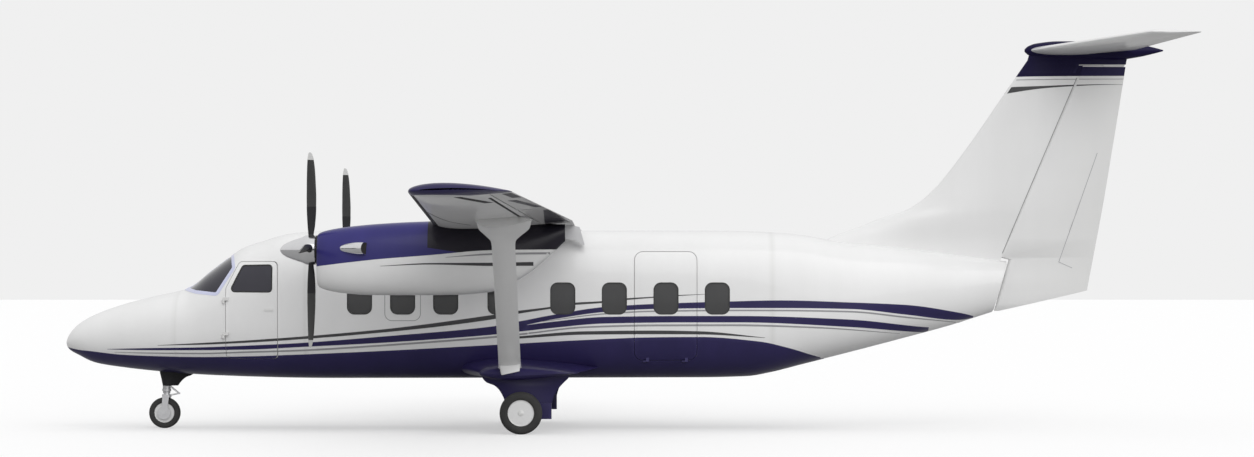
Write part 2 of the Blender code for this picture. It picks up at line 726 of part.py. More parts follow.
def wing_surface(wing, name, sign, inner, outer):
    """A flap or an aileron and its bay."""
    ends = []
    bay = []
    for y in (inner - CLEAR, outer + CLEAR):
        hinge, _, radius = wing_hinge(y)
        bay.append((hinge - radius - CLEAR, sign * y))
    bay_rear, bottom, top = WING_BAY
    bay += [(bay_rear, sign * (outer + CLEAR)), (bay_rear, sign * (inner - CLEAR))]
    cut(wing, prism(name + "_bay", bay, "z", bottom, top))
    rings = []
    for y in (inner, outer):
        hinge, z, radius = wing_hinge(y)
        front, rear, chord_z, _ = wing_row(y)
        outline = surface_outline(hinge, z - chord_z, radius, rear)
        rings.append([Vector((x, sign * y, chord_z + height)) for x, height in outline])
        ends.append(Vector((hinge, sign * y, z)))
    surface = loft(name, rings, "white_paint")
    along = (ends[1] - ends[0]).normalized()
    reach = along * (CLEAR - 2 * GAP)
    pin(surface, name + "_inner_pin", ends[0] + along * PIN_INSIDE, ends[0] - reach)
    pin(surface, name + "_outer_pin", ends[1] - along * PIN_INSIDE, ends[1] + reach)
    pivot(surface, ends[0])


def stub_ring(row, sign, grow=0.0):
    y, front, rear, z, thickness = row
    ring = [Vector((x, sign * y, z + height)) for x, height in aerofoil(front, rear, thickness, 0.0, 1.0)]
    return offset_ring(ring, grow) if grow else ring


def stubs_and_struts():
    """Stub wings low on the fuselage, and the struts from them to the wing."""
    belly = fuselage_envelope("belly_cutter")
    for side, sign in SIDES:
        stub = loft("stub_wing_" + side, [stub_ring(row, sign) for row in STUB], "navy_paint")
        cut(stub, belly)
        foot = Vector((STRUT_FOOT.x, sign * STRUT_FOOT.y, STRUT_FOOT.z))
        head = Vector((STRUT_HEAD.x, sign * STRUT_HEAD.y, STRUT_HEAD.z))
        along = (head - foot).normalized()
        upward = along.cross(Vector((1, 0, 0))) * -sign
        rings = []
        for share, chord_factor, thickness_factor in STRUT:
            middle = foot.lerp(head, share)
            chord = STRUT_CHORD * chord_factor
            outline = aerofoil(-chord * STRUT_AXIS, chord * (1 - STRUT_AXIS),
                               STRUT_THICKNESS * thickness_factor, 0.0, 1.0)
            rings.append([middle + Vector((x, 0, 0)) + upward * height for x, height in outline])
        strut = loft("wing_strut_" + side, rings, "white_paint")
        cut(strut, loft("wing_seat_" + side, [wing_ring(row[0], sign, GAP) for row in WING[1:3]]))
        cut(strut, loft("stub_seat_" + side, [stub_ring(row, sign, GAP) for row in STUB]))


# Engines

def nacelle(side, sign):
    """A cowling that is open in front, cut to the wing, with side holes for the exhausts."""
    y = sign * ENGINE_Y
    front = NACELLE[0][0]
    outer = sections(NACELLE, front, NACELLE[-1][0], y, NACELLE_POINTS)
    inner = [offset_ring(ring, -NACELLE_WALL) for ring in sections(NACELLE, front, FIREWALL, y, NACELLE_POINTS)]
    cowl = loft("nacelle_" + side, outer[::-1] + inner, "white_paint")
    cut(cowl, loft("nacelle_seat_" + side, [wing_ring(station, sign, GAP) for station in WING_AT_NACELLE]))
    front, rear, z = STACK
    low, high = z - STACK_RADIUS - STACK_CLEAR, z + STACK_RADIUS + STACK_CLEAR
    corners = ((front - 0.02, low), (rear + 0.02, low), (rear + 0.02, high), (front - 0.02, high))
    hole = rounded(corners, STACK_HOLE_CORNER, 2)
    cut(cowl, prism("exhaust_hole_" + side, hole, "y", y - STACK_HOLE_REACH, y + STACK_HOLE_REACH))


def engine(side, sign):
    """One heavy block with its shaft and two exhaust stacks."""
    y = sign * ENGINE_Y
    middle = PROP_AXIS_Z - ENGINE_DROP
    block = cylinder("engine_" + side, (ENGINE_FRONT, y, middle), (FIREWALL - GAP, y, middle), ENGINE_RADIUS,
                     20, "engine_metal")
    join(block, cylinder("shaft_" + side, (ENGINE_FRONT + SHAFT_INSIDE, y, PROP_AXIS_Z),
                         (SPINNER_BASE + GAP, y, PROP_AXIS_Z), SHAFT_RADIUS, 12))
    for number, way in enumerate((-1, 1)):
        rings = [oval(Vector((x, y + way * reach, STACK[2])), radius, radius, 2.0, 12)
                 for x, reach, radius in STACK_RINGS]
        join(block, loft(f"stack_{side}_{number}", rings))


def blade_rings(middle, turn):
    """Sections of a propeller blade that points up before it is turned about the shaft."""
    rings = []
    for radius, chord, thickness, pitch in BLADE:
        angle = math.radians(pitch)
        ring = []
        for place in range(BLADE_POINTS):
            round_turn = 2 * math.pi * place / BLADE_POINTS
            along = math.cos(round_turn) * chord / 2
            across = math.sin(round_turn) * thickness / 2
            x = along * math.sin(angle) + across * math.cos(angle)
            y = along * math.cos(angle) - across * math.sin(angle)
            ring.append(middle + turn @ Vector((x, y, radius)))
        rings.append(ring)
    return rings


def propeller(side, sign):
    """Hub with four blades, and the spinner's cone in front of it."""
    middle = Vector((PROP_X, sign * ENGINE_Y, PROP_AXIS_Z))
    hub = cylinder("propeller_" + side, (HUB_FRONT, middle.y, middle.z), (SPINNER_BASE, middle.y, middle.z),
                   SPINNER_RADIUS, SPINNER_POINTS, "black_blade")
    for number in range(BLADES):
        turn = Matrix.Rotation(2 * math.pi * number / BLADES, 3, "X")
        join(hub, loft(f"blade_{side}_{number}", blade_rings(middle, turn)))
    rings = []
    length = HUB_FRONT - GAP - SPINNER_TIP
    for share in SPINNER_SHARES:
        radius = SPINNER_RADIUS * math.sin(share * math.pi / 2) ** SPINNER_POWER
        x = SPINNER_TIP + length * (1 - math.cos(share * math.pi / 2))
        rings.append(oval(Vector((x, middle.y, middle.z)), radius, radius, 2.0, SPINNER_POINTS))
    rings[0] = [point + Vector((SPINNER_TIP - point.x, 0, 0)) for point in rings[0]]
    spinner = loft("spinner_" + side, rings, "polished")
    pivot(hub, middle)
    pivot(spinner, middle)


# Landing gear

def wheel(prefix, center, tyre_width, rim_radius, bosses, sign=1.0):
    """A tyre and its wheel; bosses give how far the wheel's middle reaches to each side of its centre."""
    center = Vector(center)
    radius = center.z
    half = tyre_width / 2
    bead = rim_radius + GAP
    # distance across, radius: one side of the tyre from bead to tread
    profile = [(half * across, bead + up * (radius - bead)) for across, up in TYRE_SIDE]
    outline = profile + [(-a, b) for a, b in reversed(profile)]
    turned(prefix + "_tyre", center, outline, "rubber")
    boss = rim_radius * BOSS_SHARE
    rim = [(half * across, rim_radius * up) for across, up in (RIM_EDGE, RIM_DISC)]
    outline = rim + [(bosses[1], boss), (bosses[1], 0.0), (-bosses[0], 0.0), (-bosses[0], boss)]
    outline += [(-a, b) for a, b in reversed(rim)]
    turned(prefix + "_wheel", center, [(sign * a, b) for a, b in outline], "wheel_paint")


def turned(name, center, outline, finish, steps=WHEEL_POINTS):
    """A profile of (distance across, radius) turned about a wheel's axis along Y."""
    points = []
    faces = []
    rows = []
    for across, radius in outline:
        if radius == 0.0:
            rows.append([len(points)])
            points.append(center + Vector((0, across, 0)))
            continue
        rows.append(list(range(len(points), len(points) + steps)))
        for step in range(steps):
            turn = 2 * math.pi * step / steps
            points.append(center + Vector((radius * math.sin(turn), across, radius * math.cos(turn))))
    for here, there in zip(rows, rows[1:] + rows[:1]):
        if len(here) == 1 and len(there) == 1:
            continue
        for step in range(steps):
            after = (step + 1) % steps
            if len(here) == 1:
                faces.append((here[0], there[after], there[step]))
            elif len(there) == 1:
                faces.append((here[step], here[after], there[0]))
            else:
                faces.append((here[step], here[after], there[after], there[step]))
    made = add(name, mesh_from(name, points, faces), finish)
    pivot(made, center)
    return made


def flat_ring(z, front, rear, thickness, y=0.0):
    """A fairing's section at a height: round in front, pointed behind."""
    outline = aerofoil(front, rear, thickness, 0.0, 1.0)
    return [Vector((x, y + across, z)) for x, across in outline]


def main_gear(side, sign):
    """A leg fairing under the stub wing, with the wheel on its outer side."""
    leg = loft("main_leg_" + side, [flat_ring(z, front, rear, thickness, sign * LEG_Y)
                                    for z, front, rear, thickness in LEG], "navy_paint")
    cut(leg, loft("leg_seat_" + side, [stub_ring(row, sign, GAP) for row in STUB[:4]]))
    x, y, z = MAIN_WHEEL
    inner, outer, radius = MAIN_AXLE
    join(leg, cylinder("axle_" + side, (x, sign * (LEG_Y + inner), z), (x, sign * (LEG_Y + outer), z), radius, 16))
    reach = y - LEG_Y - outer - GAP
    wheel("main_" + side, (x, sign * y, z), MAIN_TYRE_WIDTH, MAIN_RIM_RADIUS, (reach, MAIN_BOSS), sign)


def nose_gear():
    """A fairing and a strut under the nose, and the steered fork with its wheel."""
    fairing = loft("nose_gear_fairing", [flat_ring(z, front, rear, thickness)
                                         for z, front, rear, thickness in NOSE_FAIRING], "grey_metal")
    cut(fairing, fuselage_envelope("nose_belly_cutter"))
    cylinder("nose_strut", (STEER_X, 0, NOSE_FAIRING[-1][0] - GAP), (STEER_X, 0, STRUT_BOTTOM),
             STRUT_RADIUS, 20, "grey_metal")
    top, bottom = FORK_CROWN
    x, _, z = NOSE_WHEEL
    inner, outer = FORK_LEG
    fork = cylinder("nose_fork", (STEER_X, 0, STRUT_BOTTOM - GAP), (STEER_X, 0, bottom + 0.005),
                    STEERED_RADIUS, 16, "grey_metal")
    front = x - FORK_CROWN_FRONT
    rear = STEER_X + FORK_CROWN_REAR
    crown = ((front, -outer), (rear, -outer), (rear, outer), (front, outer))
    join(fork, prism("fork_crown", crown, "z", bottom, top))
    leg = ((x - AXLE_HALF, z - AXLE_HALF), (x + AXLE_HALF, z - AXLE_HALF), (rear - 0.010, FORK_LEG_TOP),
           (front + 0.010, FORK_LEG_TOP))
    for side, sign in SIDES:
        near, far = sorted((sign * inner, sign * outer))
        join(fork, prism("fork_leg_" + side, leg, "y", near, far))
    pivot(fork, (STEER_X, 0, FORK_BOTTOM))
    reach = inner - GAP
    wheel("nose", NOSE_WHEEL, NOSE_TYRE_WIDTH, NOSE_RIM_RADIUS, (reach, reach))


# Tail

def fin_row(z):
    return between(FIN, z, 1), between(FIN_TRAILING, max(z, FIN_TRAILING[0][0]), 1), between(FIN, z, 2)


def fin_hinge(z):
    """Hinge x and half thickness there, at a height of the fin."""
    front, rear, thickness = fin_row(z)
    x = FIN_HINGE_FOOT.x + FIN_HINGE_SLOPE * (z - FIN_HINGE_FOOT.z)
    return x, half_thickness((x - front) / (rear - front)) * thickness


def fin_ring(z, wall):
    """The fixed fin's section at a height, or the hollow inside it when it has a wall."""
    hinge, radius = fin_hinge(z)
    front, rear, thickness = fin_row(z)
    if wall:
        front += FIN_EDGE_WALL
    share = (hinge - radius - CLEAR - wall - front) / (rear - front)
    outline = aerofoil_front(front, rear, thickness - 2 * wall, share)
    return [Vector((x, across, z)) for x, across in outline]


def fin():
    """The fin with its fillet, and the cap over the rudder that carries the bullet."""
    skin = [fin_ring(z, 0.0) for z, _, _ in FIN]
    room = [fin_ring(z, FIN_WALL) for z in [row[0] for row in FIN[:-2]] + [FIN_ROOM_TOP]]
    blade = loft("fin", skin[::-1] + room, "white_paint")
    cap = []
    edge, thinner = FIN_CAP_INSET
    for z in (FIN_CAP_BOTTOM, FIN[-1][0]):
        front, rear, thickness = fin_row(z)
        outline = aerofoil(front + edge, rear, thickness - thinner, 0.0, 1.0)
        cap.append([Vector((x, across, z)) for x, across in outline])
    join(blade, loft("fin_cap", cap))
    cut(blade, fuselage_envelope("fin_seat"))
    cut(blade, loft("bullet_seat", bullet_rings(GAP)))


def aerofoil_front(front, rear, thickness, end_share):
    """The front of an aerofoil up to a share of its chord, always with the same number of points."""
    chord = rear - front
    shares = [share / FRONT_SHARES[-1] * end_share * 0.97 for share in FRONT_SHARES[1:]] + [end_share]
    upper = [(front + share * chord, half_thickness(share) * thickness) for share in reversed(shares)]
    lower = [(x, -across) for x, across in reversed(upper)]
    return upper + [(front, 0.0)] + lower


def rudder():
    """The rudder, from under the tail cone's end to the fin's cap."""
    low_z, low_x = FIN_TRAILING[0]
    cone_bottom = FUSELAGE[-1][2]
    cone_top = FUSELAGE[-1][1]
    rings = []
    for z in RUDDER_LOW:
        front = TAIL_END + TAIL_LEAN * (z - cone_bottom) / (cone_top - cone_bottom) + TAIL_GAP
        along_bottom = (z - cone_bottom) / (low_z - cone_bottom)
        rear = front + (low_x - front) * along_bottom if z < low_z else between(FIN_TRAILING, z, 1)
        radius = min(RUDDER_NOSE, (rear - front) / 3)
        outline = surface_outline(front + radius, 0.0, radius, rear)
        rings.append([Vector((x, across, z)) for x, across in outline])
    for z in RUDDER_HIGH:
        hinge, radius = fin_hinge(z)
        outline = surface_outline(hinge, 0.0, radius, fin_row(z)[1])
        rings.append([Vector((x, across, z)) for x, across in outline])
    blade = loft("rudder", rings, "white_paint")
    along = Vector((FIN_HINGE_SLOPE, 0, 1)).normalized()
    foot = FIN_HINGE_FOOT + Vector((FIN_HINGE_SLOPE, 0, 1)) * (RUDDER_TOP - FIN_HINGE_FOOT.z)
    tilt = PIN_RADIUS * FIN_HINGE_SLOPE / Vector((FIN_HINGE_SLOPE, 0, 1)).length
    reach = (FIN_CAP_BOTTOM - RUDDER_TOP - tilt - 2 * GAP) / along.z
    pin(blade, "rudder_pin", foot - along * PIN_INSIDE, foot + along * reach)
    pivot(blade, FIN_HINGE_FOOT)


def bullet_rings(grow=0.0):
    rings = [oval(Vector((x, 0, BULLET_Z)), half_width, half_height, 2.0, BULLET_POINTS)
             for x, half_height, half_width in BULLET]
    return [offset_ring(ring, grow) for ring in rings] if grow else rings


def stabiliser_row(y):
    return tuple(between(STABILISER, y, column) for column in (1, 2, 3))


def stabiliser_hinge(y):
    front, rear, thickness = stabiliser_row(y)
    return front + STABILISER_HINGE * (rear - front), half_thickness(STABILISER_HINGE) * thickness


def stabiliser_ring(y, grow=0.0):
    front, rear, thickness = stabiliser_row(abs(y))
    ring = [Vector((x, y, BULLET_Z + height)) for x, height in aerofoil(front, rear, thickness, 0.0, 1.0)]
    return offset_ring(ring, grow) if grow else ring


def tailplane():
    """The stabiliser through the bullet, and its two elevators."""
    ends = [row[0] for row in STABILISER]
    stations = [-y for y in reversed(ends[1:])] + ends
    plane = loft("stabiliser", [stabiliser_ring(y) for y in stations], "white_paint")
    inner, outer = ELEVATOR
    root_x, root_radius = stabiliser_hinge(0.0)
    room_front, room_rear, half_height = TAILPLANE_ROOM
    bottom = BULLET_Z - half_height
    top = BULLET_Z + half_height
    core_front = root_x - root_radius - CLEAR
    core = ((core_front, -inner), (core_front, inner), (room_rear, inner), (room_rear, -inner))
    cut(plane, prism("stabiliser_core", core, "z", bottom, top))
    bullet = loft("tail_bullet", bullet_rings(), "navy_paint")
    slot = loft("stabiliser_slot", [stabiliser_ring(y, GAP) for y in (-STABILISER_SLOT, 0.0, STABILISER_SLOT)])
    slot_rear = core_front + GAP
    limit = ((slot_rear, -1.0), (room_front, -1.0), (room_front, 1.0), (slot_rear, 1.0))
    keep(slot, prism("slot_limit", limit, "z", bottom, top))
    cut(bullet, slot)
    for side, sign in SIDES:
        bay = []
        for y in (inner - 2 * CLEAR, outer + CLEAR):
            hinge, radius = stabiliser_hinge(y)
            bay.append((hinge - radius - CLEAR, sign * y))
        bay += [(room_rear, sign * (outer + CLEAR)), (room_rear, sign * (inner - 2 * CLEAR))]
        cut(plane, prism("elevator_bay_" + side, bay, "z", bottom, top))
        elevator(side, sign)


def elevator(side, sign):
    inner, outer = ELEVATOR
    rings = []
    ends = []
    for y in (inner, outer):
        hinge, radius = stabiliser_hinge(y)
        outline = surface_outline(hinge, 0.0, radius, stabiliser_row(y)[1])
        rings.append([Vector((x, sign * y, BULLET_Z + height)) for x, height in outline])
        ends.append(Vector((hinge, sign * y, BULLET_Z)))
    surface = loft("elevator_" + side, rings, "white_paint")
    along = (ends[1] - ends[0]).normalized()
    across = abs(along.y)
    tilt = PIN_RADIUS * abs(along.x)
    bullet_side = between(BULLET, ends[0].x, 2)
    pin(surface, f"elevator_{side}_inner_pin", ends[0] + along * PIN_INSIDE,
        ends[0] - along * ((inner - bullet_side - tilt - 2 * GAP) / across))
    pin(surface, f"elevator_{side}_outer_pin", ends[1] - along * PIN_INSIDE,
        ends[1] + along * ((CLEAR - tilt - 2 * GAP) / across))
    pivot(surface, ends[0])


nose()
cockpit()
cabin()
tail_cone()
floor()
crew_station()
wings()
stubs_and_struts()
for side, sign in SIDES:
    nacelle(side, sign)
    engine(side, sign)
    propeller(side, sign)
    main_gear(side, sign)
nose_gear()
fin()
rudder()
tailplane()
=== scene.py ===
"""Looks of a twin-turboprop airliner: painted skins, livery, glass, engines, gear and the studio round it.

Metres; nose towards -X, left side towards -Y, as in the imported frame.
"""
import json
import math

import bmesh
import bpy
from mathutils import Matrix, Vector

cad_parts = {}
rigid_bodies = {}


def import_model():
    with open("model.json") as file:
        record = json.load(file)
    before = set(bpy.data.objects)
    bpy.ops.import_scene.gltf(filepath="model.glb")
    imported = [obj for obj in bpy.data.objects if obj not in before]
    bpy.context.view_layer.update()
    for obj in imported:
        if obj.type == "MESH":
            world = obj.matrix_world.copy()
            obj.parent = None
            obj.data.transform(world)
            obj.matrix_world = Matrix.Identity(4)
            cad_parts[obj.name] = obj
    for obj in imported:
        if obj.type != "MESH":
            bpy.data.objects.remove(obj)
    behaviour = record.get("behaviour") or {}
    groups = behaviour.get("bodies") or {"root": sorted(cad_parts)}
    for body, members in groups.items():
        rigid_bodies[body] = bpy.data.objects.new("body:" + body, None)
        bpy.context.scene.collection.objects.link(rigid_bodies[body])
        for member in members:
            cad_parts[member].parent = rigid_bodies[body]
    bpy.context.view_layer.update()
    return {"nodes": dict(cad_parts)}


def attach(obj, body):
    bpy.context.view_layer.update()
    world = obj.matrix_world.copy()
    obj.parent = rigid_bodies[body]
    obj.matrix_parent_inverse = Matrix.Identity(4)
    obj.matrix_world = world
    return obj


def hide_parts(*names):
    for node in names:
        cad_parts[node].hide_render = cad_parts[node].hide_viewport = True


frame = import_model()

WORKSHOP = bpy.data.collections.new("workshop")         # forms that aren't pieces yet
bpy.context.scene.collection.children.link(WORKSHOP)
SIDES = (("left", -1), ("right", 1))
CLEAR = 0.006               # round pieces that move
WALL = 0.030                # thickness of the skin with its lining
PAINT = 0.0022              # how far a painted area stands over the skin
PAINT_ROOT = 0.003          # how far its edge goes into the skin


# Finishes

def node(tree, kind, **values):
    """A shader node with its sockets set by name."""
    made = tree.nodes.new(kind)
    for name, value in values.items():
        made.inputs[name.replace("_", " ")].default_value = value
    return made


def finish(name, color, tint, roughness, metallic=0.0, coat=0.0, patch=1.4, grain=60.0, bump=0.05, wear=None,
           streaks=False, shine=0.5):
    """A surface whose colour and gloss drift between two tones, with fine grain and rubbed edges."""
    made = bpy.data.materials.new(name)
    made.use_nodes = True
    tree = made.node_tree
    shader = tree.nodes["Principled BSDF"]
    shader.inputs["Metallic"].default_value = metallic
    shader.inputs["Specular IOR Level"].default_value = shine
    shader.inputs["Coat Weight"].default_value = coat
    shader.inputs["Coat Roughness"].default_value = 0.06
    place = tree.nodes.new("ShaderNodeTexCoord")
    stretch = node(tree, "ShaderNodeMapping")
    stretch.inputs["Scale"].default_value = (1.0, 1.0, 0.25) if streaks else (1.0, 1.0, 1.0)
    tree.links.new(place.outputs["Object"], stretch.inputs["Vector"])
    clouds = node(tree, "ShaderNodeTexNoise", Scale=patch, Detail=6.0, Roughness=0.6)
    tree.links.new(stretch.outputs["Vector"], clouds.inputs["Vector"])
    fine = node(tree, "ShaderNodeTexNoise", Scale=grain, Detail=3.0)
    tree.links.new(place.outputs["Object"], fine.inputs["Vector"])
    drift = tree.nodes.new("ShaderNodeValToRGB")
    drift.color_ramp.elements[0].position = 0.38
    drift.color_ramp.elements[0].color = (*color, 1.0)
    drift.color_ramp.elements[1].position = 0.78
    drift.color_ramp.elements[1].color = (*tint, 1.0)
    tree.links.new(clouds.outputs["Fac"], drift.inputs["Fac"])
    shade = drift.outputs["Color"]
    if wear:
        edge = tree.nodes.new("ShaderNodeNewGeometry")
        rubbed = tree.nodes.new("ShaderNodeValToRGB")
        rubbed.color_ramp.elements[0].position = 0.53
        rubbed.color_ramp.elements[0].color = (0, 0, 0, 1)
        rubbed.color_ramp.elements[1].position = 0.62
        rubbed.color_ramp.elements[1].color = (1, 1, 1, 1)
        tree.links.new(edge.outputs["Pointiness"], rubbed.inputs["Fac"])
        blend = tree.nodes.new("ShaderNodeMix")
        blend.data_type = "RGBA"
        blend.inputs["B"].default_value = (*wear, 1.0)
        tree.links.new(rubbed.outputs["Color"], blend.inputs["Factor"])
        tree.links.new(shade, blend.inputs["A"])
        shade = blend.outputs["Result"]
    tree.links.new(shade, shader.inputs["Base Color"])
    gloss = tree.nodes.new("ShaderNodeMapRange")
    gloss.inputs["To Min"].default_value = roughness * 0.8
    gloss.inputs["To Max"].default_value = min(1.0, roughness * 1.25)
    tree.links.new(clouds.outputs["Fac"], gloss.inputs["Value"])
    tree.links.new(gloss.outputs["Result"], shader.inputs["Roughness"])
    relief = node(tree, "ShaderNodeBump", Strength=bump, Distance=0.002)
    tree.links.new(fine.outputs["Fac"], relief.inputs["Height"])
    tree.links.new(relief.outputs["Normal"], shader.inputs["Normal"])
    return made


# name: the material and the record's slot it belongs to
FINISHES = {
    "white": (finish("white_paint", (0.80, 0.80, 0.798), (0.765, 0.765, 0.762), 0.30, coat=0.35, streaks=True,
                     wear=(0.70, 0.70, 0.69)), "white_skin"),
    # The nacelle's navy (cowl_navy_paint) darkened as painted shade for the belly, which gets little light from below;
    # the stripes, stub wings, legs and wing tips share it
    "navy": (finish("navy_paint", (0.027, 0.021, 0.086), (0.021, 0.017, 0.068), 0.30, coat=0.08, streaks=True,
                    wear=(0.040, 0.034, 0.110), shine=0.22), "navy_skin"),
    # Navy darkened further as painted shade: the stabiliser's shadow on the fin's top, also used on the rudder's top
    # and the tail bullet
    "shaded_navy": (finish("shaded_navy_paint", (0.011, 0.008, 0.042), (0.008, 0.006, 0.033), 0.34, coat=0.0,
                         streaks=True, wear=(0.020, 0.017, 0.060), shine=0.10), "navy_skin"),
    "cowl_navy": (finish("cowl_navy_paint", (0.035, 0.031, 0.165), (0.028, 0.025, 0.130), 0.30, coat=0.08,
                         streaks=True, wear=(0.050, 0.044, 0.150), shine=0.22), "navy_skin"),
    # Near-black: painted shade on the nacelle's rear under the wing, also used for the dark marks under the wing
    "dark_paint_and_painted_shade": (finish("dark_paint_and_painted_shade", (0.018, 0.016, 0.024), (0.015, 0.013, 0.020), 0.34, coat=0.05, shine=0.2),
                   "navy_skin"),
    "grey_paint": (finish("grey_stripe", (0.060, 0.060, 0.063), (0.048, 0.048, 0.052), 0.34, coat=0.1, shine=0.3),
                   "navy_skin"),
    "pale_paint": (finish("pale_stripe", (0.30, 0.30, 0.31), (0.26, 0.26, 0.27), 0.32, coat=0.3), "white_skin"),
    "fairing": (finish("fairing_paint", (0.60, 0.60, 0.61), (0.55, 0.55, 0.56), 0.38, coat=0.2), "white_skin"),
    "faint_seam": (finish("faint_seam", (0.42, 0.42, 0.43), (0.38, 0.38, 0.39), 0.5), "white_skin"),
    "disc": (finish("wheel_disc", (0.54, 0.54, 0.55), (0.45, 0.45, 0.46), 0.35, metallic=0.2, patch=5), "wheel"),
    "frame_paint": (finish("window_frame_paint", (0.60, 0.62, 0.80), (0.55, 0.57, 0.75), 0.30, coat=0.3),
                    "white_skin"),
    "seam": (finish("panel_seam", (0.33, 0.33, 0.33), (0.24, 0.24, 0.24), 0.6), "white_skin"),
    "metal": (finish("gear_metal", (0.52, 0.52, 0.53), (0.40, 0.40, 0.41), 0.38, 0.75, grain=140, bump=0.12,
                     wear=(0.75, 0.75, 0.76)), "gear_metal"),
    "chrome": (finish("polished_metal", (0.80, 0.80, 0.81), (0.70, 0.70, 0.71), 0.14, 1.0, grain=200, bump=0.02),
               "polished_metal"),
    "blade": (finish("blade_black", (0.018, 0.018, 0.018), (0.030, 0.030, 0.029), 0.42, grain=180, bump=0.10,
                     wear=(0.10, 0.10, 0.10)), "blade"),
    "blade_tip": (finish("blade_tip_white", (0.60, 0.60, 0.59), (0.50, 0.50, 0.49), 0.40, grain=180, bump=0.08),
                  "blade"),
    "engine": (finish("engine_metal", (0.26, 0.25, 0.24), (0.16, 0.15, 0.14), 0.50, 0.8, patch=6, grain=90,
                      bump=0.2, wear=(0.50, 0.49, 0.47)), "engine_metal"),
    # Near-black lining: painted shade inside the chin inlet, round the inlet collar and in the blade root holes; soot
    # with painted shade in the exhaust bores
    "soot_and_painted_shade": (finish("duct_dark", (0.020, 0.019, 0.018), (0.040, 0.036, 0.032), 0.75, 0.2, patch=8, bump=0.2),
             "engine_metal"),
    "tyre": (finish("tyre_rubber", (0.036, 0.036, 0.036), (0.054, 0.053, 0.051), 0.80, patch=7, grain=220,
                    bump=0.35, wear=(0.06, 0.06, 0.058), shine=0.3), "tyre"),
    "boot": (finish("rubber_boot", (0.012, 0.012, 0.014), (0.022, 0.022, 0.023), 0.62, patch=3, grain=160,
                    bump=0.2, shine=0.3), "navy_skin"),
    "wheel": (finish("wheel_paint", (0.74, 0.74, 0.73), (0.62, 0.62, 0.61), 0.36, 0.2, patch=9, grain=120,
                     bump=0.08, wear=(0.80, 0.80, 0.80)), "wheel"),
    "glass": (finish("dark_glass", (0.030, 0.029, 0.040), (0.042, 0.041, 0.054), 0.06, coat=0.2, patch=0.7,
                     bump=0.01, shine=0.4), "glass"),
    "cabin_glass": (finish("cabin_glass", (0.050, 0.050, 0.051), (0.064, 0.064, 0.065), 0.12, coat=0.3,
                           patch=0.9, bump=0.01, shine=0.4), "glass"),
    "trim": (finish("cabin_trim", (0.33, 0.32, 0.31), (0.27, 0.26, 0.25), 0.70, patch=5, grain=260, bump=0.4,
                    wear=(0.45, 0.44, 0.43)), "trim"),
    "floor": (finish("floor_panel", (0.28, 0.28, 0.29), (0.20, 0.20, 0.21), 0.60, patch=4, grain=180, bump=0.3,
                     wear=(0.42, 0.42, 0.42)), "floor_panel"),
    "seat": (finish("seat_fabric", (0.050, 0.052, 0.070), (0.075, 0.078, 0.098), 0.88, patch=9, grain=420,
                    bump=0.8, wear=(0.12, 0.12, 0.14)), "seat"),
    "seal": (finish("seal_rubber", (0.020, 0.020, 0.020), (0.035, 0.035, 0.034), 0.70, patch=9, grain=240,
                    bump=0.2), "trim"),
}


# Curves and forms

def curve(points):
    """A smooth curve through (place, value) points that never overshoots them."""
    places = [place for place, _ in points]
    values = [value for _, value in points]
    slopes = [(b - a) / (q - p) for p, q, a, b in zip(places, places[1:], values, values[1:])]
    inner = [2 * a * b / (a + b) if a * b > 0 else 0.0 for a, b in zip(slopes, slopes[1:])]
    tangents = [slopes[0]] + inner + [slopes[-1]]

    def at(place):
        if place <= places[0]:
            return values[0]
        if place >= places[-1]:
            return values[-1]
        row = next(n for n, limit in enumerate(places[1:]) if place <= limit)
        step = places[row + 1] - places[row]
        t = (place - places[row]) / step
        return ((1 + 2 * t) * (1 - t) ** 2 * values[row] + t * (1 - t) ** 2 * step * tangents[row]
                + t * t * (3 - 2 * t) * values[row + 1] - t * t * (1 - t) * step * tangents[row + 1])
    return at


def curves(table):
    """A smooth curve for each column of a table after its first."""
    return [curve([(row[0], row[column]) for row in table]) for column in range(1, len(table[0]))]


def between(table, value, column):
    """A table's column at a value of its first column, on straight lines between rows."""
    for here, there in zip(table, table[1:]):
        if value <= there[0]:
            share = (value - here[0]) / (there[0] - here[0])
            return here[column] + share * (there[column] - here[column])
    return table[-1][column]


def steps(start, end, size):
    """Even places from start to end, no further apart than size."""
    count = max(1, math.ceil(abs(end - start) / size - 1e-9))
    return [start + (end - start) * number / count for number in range(count + 1)]


def form(points, faces):
    """A hidden solid to be shaped and joined."""
    mesh = bpy.data.meshes.new("form")
    mesh.from_pydata([tuple(point) for point in points], [], faces)
    shape = bmesh.new()
    shape.from_mesh(mesh)
    bmesh.ops.remove_doubles(shape, verts=shape.verts, dist=1e-6)
    bmesh.ops.recalc_face_normals(shape, faces=shape.faces)
    shape.to_mesh(mesh)
    shape.free()
    made = bpy.data.objects.new("form", mesh)
    WORKSHOP.objects.link(made)
    return made


def loft(rings, loop=False):
    """Skin through rings of equally many points, capped at both ends, or closed on itself."""
    count = len(rings[0])
    points = [point for ring in rings for point in ring]
    faces = []
    for span in range(len(rings) if loop else len(rings) - 1):
        here, there = span * count, (span + 1) % len(rings) * count
        for place in range(count):
            after = (place + 1) % count
            faces.append((here + place, here + after, there + after, there + place))
    if not loop:
        faces.append(tuple(range(count)))
        faces.append(tuple(range(len(points) - count, len(points))))
    return form(points, faces)


